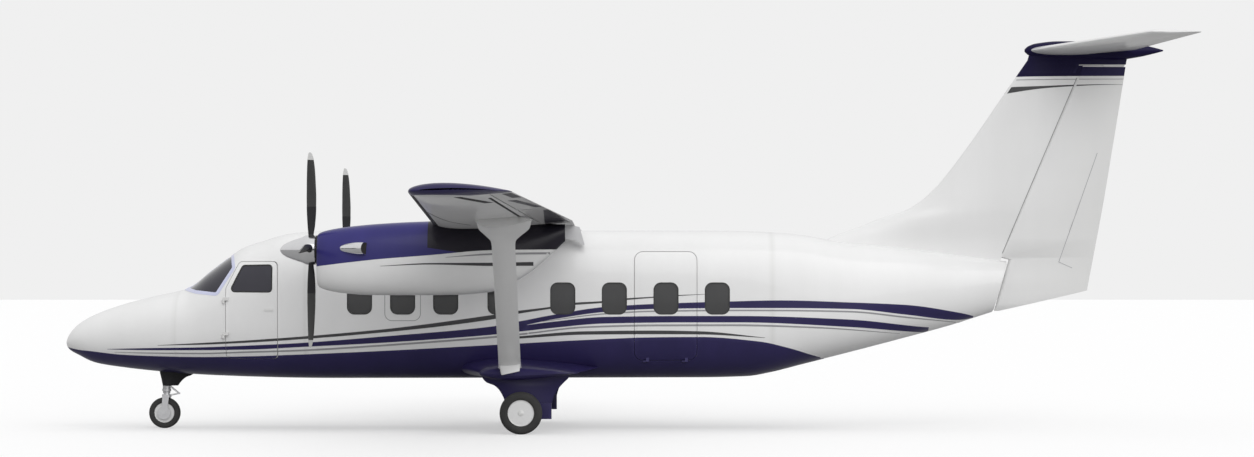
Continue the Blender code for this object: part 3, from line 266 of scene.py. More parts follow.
def plate(surface, across, along, thickness=PAINT_ROOT, lift=PAINT):
    """A thin closed plate that follows a surface(u, v, out) over a grid of u from across and v from 0 to 1."""
    columns, rows = len(across), len(along)
    points = [surface(u, v, out) for out in (lift, -thickness) for u in across for v in along]

    def at(side, column, row):
        return side * columns * rows + column * rows + row
    faces = []
    for column in range(columns - 1):
        for row in range(rows - 1):
            for side in (0, 1):
                faces.append((at(side, column, row), at(side, column + 1, row),
                              at(side, column + 1, row + 1), at(side, column, row + 1)))
        for row in (0, rows - 1):
            faces.append((at(0, column, row), at(0, column + 1, row), at(1, column + 1, row), at(1, column, row)))
    for column in (0, columns - 1):
        for row in range(rows - 1):
            faces.append((at(0, column, row), at(0, column, row + 1), at(1, column, row + 1), at(1, column, row)))
    return form(points, faces)


def prism(outline, along, low, high):
    """A flat outline pushed along an axis: points are (x, z) along Y, (x, y) along Z, (y, z) along X."""
    def place(a, b, depth):
        return Vector((a, depth, b)) if along == "y" else Vector((a, b, depth)) if along == "z" \
            else Vector((depth, a, b))
    return loft([[place(a, b, depth) for a, b in outline] for depth in (low, high)])


def bar(start, end, radius, end_radius=None, points=24):
    """A round bar between two points, which may taper."""
    start, end = Vector(start), Vector(end)
    side = (end - start).orthogonal().normalized()
    other = (end - start).normalized().cross(side)
    turns = [2 * math.pi * number / points for number in range(points)]
    return loft([[middle + (side * math.cos(turn) + other * math.sin(turn)) * size for turn in turns]
                 for middle, size in ((start, radius), (end, radius if end_radius is None else end_radius))])


def turned(center, outline, axis="y", points=64):
    """A closed profile of (distance along, radius) turned about an axis through a point."""
    center = Vector(center)

    def place(along, radius, turn):
        a, b = radius * math.cos(turn), radius * math.sin(turn)
        return center + (Vector((a, along, b)) if axis == "y" else Vector((along, a, b)))
    rings = [[place(along, max(radius, 1e-4), 2 * math.pi * number / points) for number in range(points)]
             for along, radius in outline]
    return loft(rings, loop=all(radius > 1e-3 for _, radius in outline))


def join(*forms):
    """One solid from several."""
    shape = bmesh.new()
    for part in forms:
        shape.from_mesh(part.data)
    shape.to_mesh(forms[0].data)
    shape.free()
    for part in forms[1:]:
        bpy.data.objects.remove(part)
    return forms[0]


def copy(part):
    made = part.copy()
    made.data = part.data.copy()
    WORKSHOP.objects.link(made)
    return made


def shaped(part, tool, operation="DIFFERENCE"):
    """Cuts a solid with a tool, or keeps what both share."""
    step = part.modifiers.new("shape", "BOOLEAN")
    step.operation = operation
    step.solver = "EXACT"
    step.object = tool
    bpy.context.view_layer.update()
    mesh = bpy.data.meshes.new_from_object(part.evaluated_get(bpy.context.evaluated_depsgraph_get()))
    part.modifiers.clear()
    part.data = mesh
    return part


def keep(part, tool):
    return shaped(part, tool, "INTERSECT")


def parted(part, tool):
    """What lies outside a tool, and what lies inside it."""
    inside = keep(copy(part), tool)
    return shaped(part, tool), inside


def piece(name, body, look, *forms, stands_for=(), crease=35):
    """Joins the forms into a named piece of the model that rides on a body and replaces CAD nodes."""
    made = join(*forms)
    WORKSHOP.objects.unlink(made)
    bpy.context.scene.collection.objects.link(made)
    made.name = made.data.name = name
    material, slot = FINISHES[look]
    made.data.materials.clear()
    made.data.materials.append(material)
    for face in made.data.polygons:
        face.material_index = 0
    made.data.shade_smooth()
    made.data.set_sharp_from_angle(angle=math.radians(crease))
    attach(made, body)
    if stands_for:
        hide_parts(*stands_for)
    return made


def rounded(corners, radius, arc=7):
    """A convex outline, anticlockwise, with each corner turned into an arc."""
    outline = []
    for place, corner in enumerate(corners):
        corner = Vector(corner)
        back = (Vector(corners[place - 1]) - corner).normalized()
        ahead = (Vector(corners[(place + 1) % len(corners)]) - corner).normalized()
        half = back.angle(ahead) / 2
        middle = corner + (back + ahead).normalized() * radius / math.sin(half)
        start = math.atan2(-back.x, back.y) + math.pi
        for number in range(arc + 1):
            turn = start + (math.pi - 2 * half) * number / arc
            outline.append((middle.x + radius * math.cos(turn), middle.y + radius * math.sin(turn)))
    return outline


def grown(outline, distance):
    """An outline, anticlockwise, moved outwards by a distance."""
    moved = []
    count = len(outline)
    for place, point in enumerate(outline):
        point = Vector(point)
        back = (point - Vector(outline[place - 1])).normalized()
        ahead = (Vector(outline[(place + 1) % count]) - point).normalized()
        out = Vector((back.y + ahead.y, -back.x - ahead.x)).normalized()
        moved.append(tuple(point + out * distance / max(out.dot(Vector((back.y, -back.x))), 0.5)))
    return moved


# Fuselage: sections along X, as x, top z, bottom z, half width, roundness of the rounded square

NOSE_TIP = -8.352
FUSELAGE = (
    (-8.352, 1.2960, 1.2940, 0.001, 2.0),
    (-8.300, 1.440, 1.195, 0.130, 2.0),
    (-8.170, 1.580, 1.120, 0.245, 2.0),
    (-7.900, 1.735, 0.998, 0.390, 2.1),
    (-7.450, 1.895, 0.925, 0.555, 2.2),
    (-7.000, 2.010, 0.875, 0.695, 2.3),
    (-6.480, 2.132, 0.832, 0.820, 2.4),
    (-6.150, 2.380, 0.813, 0.880, 2.5),
    (-5.840, 2.610, 0.800, 0.918, 2.6),
    (-5.640, 2.745, 0.793, 0.940, 2.8),
    (-5.300, 2.860, 0.784, 0.968, 3.0),
    (-4.900, 2.962, 0.775, 0.990, 3.3),
    (-4.340, 3.003, 0.770, 1.000, 3.6),
    (1.300, 3.005, 0.780, 1.000, 3.6),
    (2.000, 2.995, 0.797, 0.995, 3.5),
    (2.350, 2.980, 0.855, 0.980, 3.4),
    (2.820, 2.941, 0.972, 0.935, 3.2),
    (3.550, 2.815, 1.155, 0.815, 2.9),
    (4.340, 2.745, 1.360, 0.640, 2.6),
    (5.080, 2.650, 1.560, 0.440, 2.4),
    (5.737, 2.540, 1.768, 0.250, 2.2),
)
NOSE_JOINT = -6.600
COCKPIT_JOINT = -4.620
CABIN_JOINT = 2.350
TAIL_END = 5.737
TAIL_LEAN = 0.221
LEAN_START = 5.080
RING_POINTS = 96


def reach(x):
    """Square root of the distance behind the nose tip: along it the nose is as round as it should be."""
    return math.sqrt(max(x - NOSE_TIP, 0.0))


BODY_CURVES = curves([(reach(row[0]), *row[1:]) for row in FUSELAGE])


def body_section(x):
    """Middle z, half height, half width and roundness of the fuselage at x."""
    top, bottom, half, roundness = (line(reach(x)) for line in BODY_CURVES)
    return (top + bottom) / 2, (top - bottom) / 2, half, roundness


def skin(x, turn, out=0.0):
    """A point of the fuselage's skin; turn goes from its +Y side over the top."""
    middle, tall, half, roundness = body_section(x)
    y = math.copysign(abs(math.cos(turn)) ** (2 / roundness), math.cos(turn))
    z = math.copysign(abs(math.sin(turn)) ** (2 / roundness), math.sin(turn))
    normal = Vector((0.0, math.copysign(abs(y) ** (roundness - 1), y) / half,
                     math.copysign(abs(z) ** (roundness - 1), z) / tall)).normalized()
    lean = TAIL_LEAN * max(0.0, (x - LEAN_START) / (TAIL_END - LEAN_START)) * (z + 1) / 2
    return Vector((x + lean, y * half, middle + z * tall)) + normal * out


def turn_at(x, z, sign):
    """The turn of the skin's point at a height."""
    middle, tall, _, roundness = body_section(x)
    share = max(-1.0, min(1.0, (z - middle) / tall))
    turn = math.asin(math.copysign(abs(share) ** (roundness / 2), share))
    return turn if sign > 0 else math.pi - turn


def skin_ring(x, out=0.0, points=RING_POINTS):
    return [skin(x, 2 * math.pi * number / points, out) for number in range(points)]


def tube(start, end, out=0.0, wall=WALL, step=0.07):
    """A stretch of the fuselage as an open tube."""
    places = steps(start, end, step)
    return loft([skin_ring(x, out) for x in places] + [skin_ring(x, out - wall) for x in reversed(places)], loop=True)


def band(lower, upper, start, end, sign, rows=5, lift=PAINT):
    """A painted stripe along one side of the fuselage between two lines of z over x."""
    def point(x, share, out):
        low, high = lower(x), upper(x)
        return skin(x, turn_at(x, low + share * max(high - low, 0.0015), sign), out)
    return plate(point, steps(start, end, 0.07), [number / (rows - 1) for number in range(rows)], lift=lift)


# Doors and windows, seen from the side as x, z, anticlockwise from the front of the sill
CREW_DOOR = ((-5.820, 1.070), (-5.030, 1.070), (-5.030, 2.530), (-5.625, 2.530), (-5.820, 2.130))
CREW_DOOR_CORNER = 0.070
# How far the leaf's rear edge stays off the doorway's, so that its curved ends can swing out: z, distance
CREW_DOOR_REAR_GAPS = ((1.070, 0.014), (1.400, 0.000), (2.100, 0.000), (2.530, 0.014))
CREW_HINGE = (-5.840, 0.932)
CREW_HINGE_HEIGHTS = (1.38, 1.90)
CREW_WINDOW = rounded(((-5.745, 2.085), (-5.130, 2.080), (-5.130, 2.468), (-5.562, 2.462)), 0.042)
AIRSTAIR = rounded(((0.288, 1.050), (1.228, 1.050), (1.228, 2.679), (0.288, 2.679)), 0.130)
AIRSTAIR_HINGE = (0.897, 1.040)
AIRSTAIR_HINGE_PLACES = (0.42, 1.00)
HINGE_LEAF = 0.045
WINDSCREEN = ((-6.300, 2.100), (-5.970, 2.065), (-5.738, 2.440), (-5.775, 2.570), (-5.920, 2.800),
              (-6.590, 2.800), (-6.500, 2.150))
WINDSCREEN_POST = 0.030
CABIN_WINDOWS = (-3.808, -3.165, -2.523, -1.713, -0.777, -0.008, 0.762, 1.527)      # x of their middles
WINDOW_Z = 1.975
WINDOW_SIZE = (0.350, 0.456)
WINDOW_CORNER = 0.100
# The black seal round each cabin window also stands in as painted shade of the window's recessed frame
RIM = 0.012                             # width of the black seal round a cabin window


def window_outline(x, grow=0.0):
    wide, tall = WINDOW_SIZE[0] / 2 + grow, WINDOW_SIZE[1] / 2 + grow
    return rounded(((x - wide, WINDOW_Z - tall), (x + wide, WINDOW_Z - tall), (x + wide, WINDOW_Z + tall),
                    (x - wide, WINDOW_Z + tall)), WINDOW_CORNER + grow)


def window_tool(low, high, grow=0.0):
    return join(*[prism(window_outline(x, grow), "y", low, high) for x in CABIN_WINDOWS])


LEFT, RIGHT, BOTH = (-1.3, -0.3), (0.3, 1.3), (-1.3, 1.3)


def side_span(sign, inner=0.30):
    return tuple(sorted((sign * inner, sign * 1.30)))


def crew_leaf():
    """Outline of the crew door's leaf inside its doorway."""
    rear = [(CREW_DOOR[1][0] - gap, z) for z, gap in CREW_DOOR_REAR_GAPS]
    return grown(rounded([CREW_DOOR[0], *rear, *CREW_DOOR[3:]], CREW_DOOR_CORNER), -CLEAR)


# Livery on the fuselage: lower and upper line of each stripe as x, z, from nose to tail
BELLY = curve(((-8.340, 1.236), (-8.113, 1.193), (-7.944, 1.179), (-7.465, 1.129), (-6.993, 1.110),
               (-6.221, 1.097), (-5.460, 1.110), (-4.704, 1.138), (-3.506, 1.191), (-1.834, 1.281),
               (-0.461, 1.356), (0.568, 1.396), (1.269, 1.401), (2.165, 1.332), (2.60, 1.235), (3.00, 1.115),
               (3.18, 1.068)))
BELLY_END = 3.16
# look, start, end, lower line, upper line
STRIPES = (
    ("navy", -7.66, -1.31,
     ((-7.66, 1.208), (-7.30, 1.202), (-6.982, 1.199), (-6.212, 1.202), (-5.454, 1.213), (-4.700, 1.251), (-3.504, 1.313),
      (-1.833, 1.435), (-1.430, 1.481), (-1.31, 1.494)),
     ((-7.66, 1.211), (-7.30, 1.222), (-6.982, 1.230), (-6.210, 1.244), (-5.452, 1.273), (-4.699, 1.311), (-3.503, 1.405),
      (-1.832, 1.558), (-1.430, 1.634), (-1.31, 1.655))),
    ("navy", -1.312, 5.50,
     ((-1.312, 1.583), (-0.900, 1.668), (-0.163, 1.774), (0.568, 1.818), (1.746, 1.833), (2.463, 1.833),
      (3.519, 1.818), (4.393, 1.731), (5.20, 1.650), (5.50, 1.690)),
     ((-1.312, 1.655), (-0.983, 1.720), (-0.163, 1.848), (0.568, 1.893), (1.746, 1.932), (2.463, 1.947),
      (3.518, 1.916), (4.391, 1.877), (5.20, 1.760), (5.50, 1.694))),
    ("navy", -1.312, 4.75,
     ((-1.312, 1.494), (-0.900, 1.540), (-0.163, 1.602), (1.030, 1.619), (1.880, 1.619), (3.522, 1.548),
      (4.714, 1.460), (4.75, 1.459)),
     ((-1.312, 1.580), (-0.900, 1.632), (-0.163, 1.700), (1.030, 1.714), (1.880, 1.714), (3.520, 1.659),
      (4.714, 1.540), (4.75, 1.538))),
    ("grey_paint", -6.86, 1.34,
     ((-6.86, 1.270), (-6.45, 1.279), (-6.208, 1.284), (-5.450, 1.318), (-3.503, 1.465), (-1.832, 1.663), (-1.460, 1.744),
      (-0.983, 1.818), (-0.610, 1.878), (-0.192, 1.908), (0.180, 1.953), (0.568, 1.985), (0.941, 2.013),
      (1.34, 2.037)),
     ((-6.86, 1.274), (-6.45, 1.296), (-6.207, 1.309), (-5.449, 1.352), (-3.503, 1.511), (-1.832, 1.729), (-1.460, 1.789),
      (-0.983, 1.848), (-0.610, 1.913), (-0.192, 1.936), (0.180, 1.979), (0.568, 2.002), (0.941, 2.026),
      (1.34, 2.041))),
    ("grey_paint", -1.45, 2.24,
     ((-1.45, 1.376), (-0.461, 1.436), (0.568, 1.443), (1.269, 1.440), (2.24, 1.388)),
     ((-1.45, 1.410), (-0.461, 1.486), (0.568, 1.497), (1.269, 1.486), (2.24, 1.392))),
    ("pale_paint", -7.55, -1.30,
     ((-7.55, 1.163), (-7.05, 1.149), (-6.216, 1.142), (-5.456, 1.163), (-4.702, 1.186), (-3.505, 1.258),
      (-1.833, 1.384), (-1.30, 1.440)),
     ((-7.55, 1.167), (-7.05, 1.163), (-6.216, 1.162), (-5.456, 1.187), (-4.702, 1.212), (-3.505, 1.286),
      (-1.833, 1.413), (-1.30, 1.466))),
    ("pale_paint", -1.29, 4.30,
     ((-1.29, 1.445), (-0.461, 1.534), (0.568, 1.560), (1.746, 1.563), (3.00, 1.530), (4.30, 1.444)),
     ((-1.29, 1.467), (-0.461, 1.560), (0.568, 1.588), (1.746, 1.591), (3.00, 1.552), (4.30, 1.448))),
    ("pale_paint", -1.10, 5.30,
     ((-1.10, 1.626), (-0.163, 1.736), (0.568, 1.774), (1.746, 1.786), (2.463, 1.784), (3.519, 1.766),
      (4.393, 1.680), (5.30, 1.600)),
     ((-1.10, 1.632), (-0.163, 1.756), (0.568, 1.796), (1.746, 1.810), (2.463, 1.808), (3.519, 1.790),
      (4.393, 1.702), (5.30, 1.605))),
)


def stripes(look):
    """All stripes of one look, on both sides."""
    made = []
    for kind, start, end, lower, upper in STRIPES:
        if kind == look:
            made += [band(curve(lower), curve(upper), start, end, sign) for _, sign in SIDES]
    return join(*made)


def belly_paint():
    """The navy underside, from the line on one side round the bottom to the line on the other."""
    def point(x, share, out):
        right = turn_at(x, BELLY(x), 1)
        return skin(x, right - share * (2 * right + math.pi), out)
    nose = [NOSE_TIP + (0.02 + number * 0.045) ** 2 for number in range(21)]
    places = nose + steps(nose[-1] + 0.07, BELLY_END, 0.08)
    return plate(point, places, [number / 48 for number in range(49)])


def fuselage():
    nose_end = reach(NOSE_JOINT)
    places = [NOSE_TIP + (0.015 + (nose_end - 0.015) * number / 36) ** 2 for number in range(37)]
    piece("nose_section", "airframe", "white", loft([skin_ring(x) for x in places]), stands_for=["nose_section"])
    cockpit_and_doors()
    cabin_and_airstair()
    outer = [skin_ring(x) for x in steps(CABIN_JOINT, TAIL_END, 0.07)]
    inner = [skin_ring(x, -0.014) for x in steps(CABIN_JOINT, TAIL_END - 0.10, 0.10)]
    piece("tail_cone", "airframe", "white", loft(outer[::-1] + inner), stands_for=["tail_cone"])
    paint_fuselage()
    for side, sign in SIDES:
        exit_outline(side, sign)


def cockpit_and_doors():
    shell = tube(NOSE_JOINT, COCKPIT_JOINT, step=0.05)
    frame_skin = tube(NOSE_JOINT - 0.02, COCKPIT_JOINT, 0.004, 0.012, 0.05)
    panes_skin = tube(NOSE_JOINT, COCKPIT_JOINT, -0.004, 0.010, 0.05)
    corner = rounded(WINDSCREEN, 0.030)
    for side, sign in SIDES:
        low, high = side_span(sign)
        doorway = prism(rounded(CREW_DOOR, CREW_DOOR_CORNER), "y", low, high)
        opening = prism(corner, "y", *side_span(sign, WINDSCREEN_POST))
        leaf = prism(crew_leaf(), "y", low, high)
        hole = prism(CREW_WINDOW, "y", low, high)
        rim = prism(grown(corner, 0.050), "y", *side_span(sign, WINDSCREEN_POST - 0.022))
        door = keep(copy(shell), leaf)
        shaped(door, hole)
        pane = keep(copy(panes_skin), prism(grown(CREW_WINDOW, 0.004), "y", low, high))
        seal = shaped(keep(tube(-5.75, -5.10, 0.0015, 0.006, 0.05), prism(grown(CREW_WINDOW, 0.018), "y", low, high)),
                      hole)
        screen = keep(copy(panes_skin), prism(grown(corner, 0.004), "y", *side_span(sign, WINDSCREEN_POST - 0.004)))
        surround = shaped(keep(copy(frame_skin), rim), opening)
        shaped(surround, doorway)
        shaped(shell, doorway)
        shaped(shell, opening)
        body = "crew_door_" + side
        piece("crew_door_" + side, body, "white", door, stands_for=["crew_door_" + side])
        piece("crew_window_" + side, body, "glass", pane, stands_for=["crew_window_" + side])
        piece("crew_window_seal_" + side, body, "seal", seal)
        piece("windscreen_" + side, "airframe", "glass", screen, stands_for=["windscreen_" + side])
        piece("windscreen_frame_" + side, "airframe", "frame_paint", surround)
        edge = rounded(CREW_DOOR, CREW_DOOR_CORNER)
        jamb = keep(tube(-5.90, -4.95, -WALL - CLEAR, 0.010, 0.05), prism(grown(edge, 0.030), "y", low, high))
        piece("crew_door_jamb_" + side, "airframe", "white", shaped(jamb, prism(grown(edge, -0.030), "y", low, high)))
        x, y = CREW_HINGE
        brackets, straps = [], []
        for z in CREW_HINGE_HEIGHTS:
            bracket = ((x + 0.010, y + 0.012), (x + 0.010, y - 0.055), (x - 0.070, y - 0.070), (x - 0.010, y + 0.012))
            strap = ((x - 0.012, y + 0.012), (x + 0.070, y + 0.012), (x + 0.070, y - 0.050), (x + 0.045, y - 0.050),
                     (x + 0.045, y - 0.008), (x - 0.012, y - 0.008))
            brackets.append(prism([(a, sign * b) for a, b in bracket], "z", z, z + HINGE_LEAF))
            straps.append(prism([(a, sign * b) for a, b in strap], "z", z + HINGE_LEAF + 0.0003, z + 2 * HINGE_LEAF))
        piece("crew_door_brackets_" + side, "airframe", "white", *brackets)
        piece("crew_door_straps_" + side, body, "white", *straps)
        handle = grown(rounded(((-5.235, 1.790), (-5.095, 1.790), (-5.095, 1.826), (-5.235, 1.826)), 0.010), 0)
        piece("crew_door_handle_" + side, body, "white",
              keep(tube(-5.30, -5.05, 0.010, 0.014, 0.05), prism(handle, "y", low, high)))
    post = keep(tube(-6.52, -5.88, 0.012, 0.016, 0.05), prism(((-7.0, 1.8), (-5.5, 1.8), (-5.5, 3.1), (-7.0, 3.1)),
                                                             "y", -WINDSCREEN_POST - 0.004, WINDSCREEN_POST + 0.004))
    shaped(post, prism(((-7.0, 0.5), (-5.5, 0.5), (-5.5, 1.85), (-7.0, 1.85)), "y", -0.5, 0.5))
    piece("windscreen_post", "airframe", "frame_paint", post)
    piece("cockpit_section", "airframe", "white", shell, stands_for=["cockpit_section"])


def cabin_and_airstair():
    shell = tube(COCKPIT_JOINT, CABIN_JOINT)
    doorway = prism(AIRSTAIR, "y", *LEFT)
    windows = window_tool(*BOTH)
    door = shaped(keep(copy(shell), prism(grown(AIRSTAIR, -CLEAR), "y", *LEFT)), windows)
    shaped(shaped(shell, windows), doorway)
    panes = tube(COCKPIT_JOINT, CABIN_JOINT, -0.012, 0.008)
    rims = tube(COCKPIT_JOINT, CABIN_JOINT, 0.002, 0.010)
    wide = window_tool(*BOTH, 0.005)
    keep(panes, wide)
    keep(rims, window_tool(*BOTH, RIM))
    shaped(rims, windows)
    door_panes = keep(copy(panes), doorway)
    door_rims = keep(copy(rims), doorway)
    piece("cabin_section", "airframe", "white", shell, stands_for=["cabin_section"])
    piece("cabin_windows", "airframe", "cabin_glass", shaped(panes, doorway))
    # Black rims round the windows: seal rubber, and painted shade of the recessed frame
    piece("cabin_window_rims", "airframe", "seal", shaped(rims, doorway))
    piece("airstair_door", "airstair", "white", door, stands_for=["airstair_door"])
    piece("airstair_window", "airstair", "cabin_glass", door_panes)
    piece("airstair_window_rim", "airstair", "seal", door_rims)
    y, z = AIRSTAIR_HINGE
    bracket = ((y + 0.008, z + 0.007), (y - 0.032, z + 0.007), (y - 0.052, z - 0.030), (y + 0.008, z - 0.008))
    strap = ((y + 0.012, z - 0.010), (y + 0.012, z + 0.050), (y - 0.012, z + 0.050), (y - 0.008, z + 0.015),
             (y - 0.008, z - 0.010))
    piece("airstair_brackets", "airframe", "navy",
          *[prism([(-a, b) for a, b in bracket], "x", x, x + HINGE_LEAF) for x in AIRSTAIR_HINGE_PLACES])
    piece("airstair_straps", "airstair", "navy",
          *[prism([(-a, b) for a, b in strap], "x", x + HINGE_LEAF + 0.0003, x + 2 * HINGE_LEAF)
            for x in AIRSTAIR_HINGE_PLACES])
    treads = [prism(((-0.968, z), (-0.968, z + 0.035), (-0.780, z + 0.030), (-0.780, z + 0.005)), "x", 0.36, 1.16)
              for z in (1.30, 1.55, 2.28, 2.50)]
    rails = [bar((x, -0.955, 1.20), (x, -0.955, 2.56), 0.016, points=16) for x in (0.345, 1.172)]
    room = loft([skin_ring(x, -WALL - 0.004) for x in steps(0.25, 1.27, 0.10)])
    piece("airstair_steps", "airstair", "metal", *[keep(part, room) for part in treads + rails])


def paint_fuselage():
    """Stripes and belly, parted where a door has its own share of them."""
    crew = {side: prism(rounded(CREW_DOOR, CREW_DOOR_CORNER), "y", *side_span(sign)) for side, sign in SIDES}
    leaf = {side: prism(crew_leaf(), "y", *side_span(sign)) for side, sign in SIDES}
    doorway = prism(AIRSTAIR, "y", *LEFT)
    stair = prism(grown(AIRSTAIR, -CLEAR), "y", *LEFT)
    windows = window_tool(*BOTH, RIM)
    # The navy of the belly and stripes is darkened with painted shade
    for name, look, paint in (("belly_paint", "navy", belly_paint()), ("navy_stripes", "navy", stripes("navy")),
                              ("grey_stripes", "grey_paint", stripes("grey_paint")),
                              ("pale_stripes", "pale_paint", stripes("pale_paint"))):
        shaped(paint, windows)
        for side, _ in SIDES:
            piece(f"{name}_crew_door_{side}", "crew_door_" + side, look, keep(copy(paint), leaf[side]))
            shaped(paint, crew[side])
        piece(name + "_airstair", "airstair", look, keep(copy(paint), stair))
        piece(name, "airframe", look, shaped(paint, doorway))


def exit_outline(side, sign):
    """The seam of the emergency exit round the second cabin window."""
    outline = rounded(((-3.435, 1.640), (-2.895, 1.640), (-2.895, 2.480), (-3.435, 2.480)), 0.110)
    seam = keep(tube(-3.60, -2.75, 0.0006, 0.004), prism(outline, "y", *side_span(sign)))
    piece("exit_seam_" + side, "airframe", "seam", shaped(seam, prism(grown(outline, -0.009), "y", *side_span(sign))))


fuselage()


# Lifting surfaces

def half_thickness(share):
    """Half thickness of a symmetric aerofoil at a share of its chord, for a thickness of 1."""
    return 5 * (0.2969 * math.sqrt(share) - 0.1260 * share - 0.3516 * share ** 2 + 0.2843 * share ** 3
                - 0.1036 * share ** 4)


AEROFOIL_POINTS = 30


def aerofoil(front, rear, thickness, camber=0.0, edge=0.002):
    """Outline from the trailing edge over the top, round the nose and back below, as (x, height)."""
    chord = rear - front
    shares = [(1 - math.cos(math.pi * number / AEROFOIL_POINTS)) / 2 for number in range(AEROFOIL_POINTS + 1)]

    def point(share, way):
        mean = 4 * camber * chord * share * (1 - share)
        return front + share * chord, mean + way * (half_thickness(share) * thickness + edge * share)
    return [point(share, 1) for share in reversed(shares)] + [point(share, -1) for share in shares[1:]]


def aerofoil_cut(front, rear, thickness, end_share):
    """The front of an aerofoil up to a share of its chord."""
    chord = rear - front
    shares = [end_share * (1 - math.cos(math.pi * number / 2 / AEROFOIL_POINTS)) for number in range(AEROFOIL_POINTS + 1)]
    upper = [(front + share * chord, half_thickness(share) * thickness) for share in reversed(shares)]
    return upper + [(x, -height) for x, height in reversed(upper[:-1])]


def round_nosed(hinge, height, radius, rear, rear_height):
    """Outline of a movable surface: a round nose about its hinge, tapering to its trailing edge."""
    arc = [math.pi / 2 + math.pi * number / 14 for number in range(15)]
    return ([(rear, rear_height + 0.003)] + [(hinge + radius * math.cos(turn), height + radius * math.sin(turn))
                                             for turn in arc] + [(rear, rear_height - 0.003)])


def cove(hinge, height, radius, rear, clear=CLEAR):
    """Outline of the space that a movable surface turns in."""
    wide = radius + clear
    arc = [math.pi / 2 + math.pi * number / 14 for number in range(15)]
    return ([(rear + 0.3, height + wide)] + [(hinge + wide * math.cos(turn), height + wide * math.sin(turn))
                                             for turn in arc] + [(rear + 0.3, height - wide)])


# Wing: stations along the span, as |y|, leading edge x, trailing edge x, chord line z, thickness
WING = (
    (0.00, -2.600, -0.600, 3.065, 0.290),
    (3.30, -2.600, -0.600, 3.085, 0.285),
    (10.70, -2.412, -1.195, 3.245, 0.165),
    (10.90, -2.395, -1.225, 3.250, 0.140),
    (10.98, -2.350, -1.290, 3.252, 0.080),
    (11.01, -2.270, -1.400, 3.253, 0.020),
)
WING_TIP = curves(WING[2:])
TIP_START = WING[2][0]
WING_CAMBER = 0.018
HINGE_SHARE = 0.785
# Movable surfaces of the wing: name, inner |y|, outer |y|
WING_SURFACES = (("flap_inner", 1.10, 2.34), ("flap_outer", 3.26, 6.90), ("aileron", 6.95, 10.55))
PIN_RADIUS = 0.010


def wing_row(y):
    """Leading edge x, trailing edge x, chord line z and thickness at a station."""
    if y > TIP_START:
        return tuple(line(y) for line in WING_TIP)
    return tuple(between(WING, y, column) for column in (1, 2, 3, 4))


def wing_ring(y, sign):
    front, rear, z, thickness = wing_row(y)
    return [Vector((x, sign * y, z + height)) for x, height in aerofoil(front, rear, thickness, WING_CAMBER)]


def grown_ring(ring, distance):
    """A ring across Y, moved outwards by a distance."""
    y = ring[0].y
    flat = [(point.x, point.z) for point in ring]
    area = sum(a[0] * b[1] - b[0] * a[1] for a, b in zip(flat, flat[1:] + flat[:1]))
    outline = grown(flat, distance if area > 0 else -distance)
    return [Vector((x, y, z)) for x, z in outline]


# Marks under the wing: look, inner |y|, outer |y|, front line and rear line as |y|, x
WING_MARKS = (
    ("boot", 9.00, 10.55, ((9.00, -1.590), (10.55, -1.890)), ((9.00, -1.480), (10.55, -1.800))),
    ("boot", 3.60, 9.95, ((3.60, -1.205), (9.95, -1.510)), ((3.60, -1.170), (9.95, -1.470))),
    ("dark_paint_and_painted_shade", 2.60, 3.21, ((2.60, -1.000), (3.21, -0.990)), ((2.60, -0.620), (3.21, -0.660))),
    ("pale_paint", 4.30, 7.20, ((4.30, -1.120), (7.20, -1.220)), ((4.30, -0.990), (7.20, -1.090))),
    ("grey_paint", 4.20, 7.86, ((4.20, -2.015), (5.26, -2.270), (6.74, -2.405), (7.86, -2.475)),
     ((4.20, -1.985), (5.26, -2.245), (6.74, -2.385), (7.86, -2.460))),
)
# Dark marks under its movable surfaces: surface, inner |y|, outer |y|, front line and rear line as |y|, x
SURFACE_MARKS = (
    ("aileron", 7.30, 9.10, ((7.30, -1.010), (9.10, -1.300)), ((7.30, -0.930), (9.10, -1.190))),
    ("aileron", 9.60, 10.50, ((9.60, -1.230), (10.50, -1.320)), ((9.60, -1.120), (10.50, -1.205))),
    ("flap_outer", 3.30, 6.50, ((3.30, -0.990), (6.50, -0.930)), ((3.30, -0.660), (6.50, -0.860))),
)
# Fairing behind the wing's root, as x, z; it ends at ROOT_FAIRING_Y
ROOT_FAIRING = ((-1.00, 2.900), (-0.560, 2.840), (-0.476, 2.770), (-0.452, 2.780), (-0.525, 3.040), (-0.650, 3.070),
                (-1.00, 3.060))
ROOT_FAIRING_Y = 1.040
BOOT_SHARE = 0.05                       # of the chord, behind the leading edge
TIP_PAINT_UNDER = 10.93                 # the tip's paint reaches this far round below
TIP_PAINT_LOW = (3.20, 3.20)


def boot_room(sign):
    """The space in front of a line that runs along the leading edge."""
    rings = []
    for y in (3.0, 10.8):
        front, rear, z, _ = wing_row(y)
        back = front + BOOT_SHARE * (rear - front)
        rings.append([Vector((a, sign * y, b)) for a, b in
                      ((front - 0.1, z - 0.3), (back, z - 0.3), (back, z + 0.3), (front - 0.1, z + 0.3))])
    return loft(rings)


def wing_hinge(y):
    """Hinge x and z and half thickness there, at a station of the wing."""
    front, rear, z, thickness = wing_row(y)
    chord = rear - front
    mean = 4 * WING_CAMBER * chord * HINGE_SHARE * (1 - HINGE_SHARE)
    return front + HINGE_SHARE * chord, z + mean, half_thickness(HINGE_SHARE) * thickness


def wing_skin(sign):
    """The wing's surface as y, share of the chord (below 0 on the underside), distance over it."""
    def point(y, share, out):
        front, rear, z, thickness = wing_row(y)
        way = 1 if share >= 0 else -1
        share = abs(share)
        chord = rear - front
        mean = 4 * WING_CAMBER * chord * share * (1 - share)
        height = mean + way * (half_thickness(share) * thickness + out)
        nose = out if share < 0.02 else 0.0
        return Vector((front + share * chord - nose, sign * y, z + height))
    return point


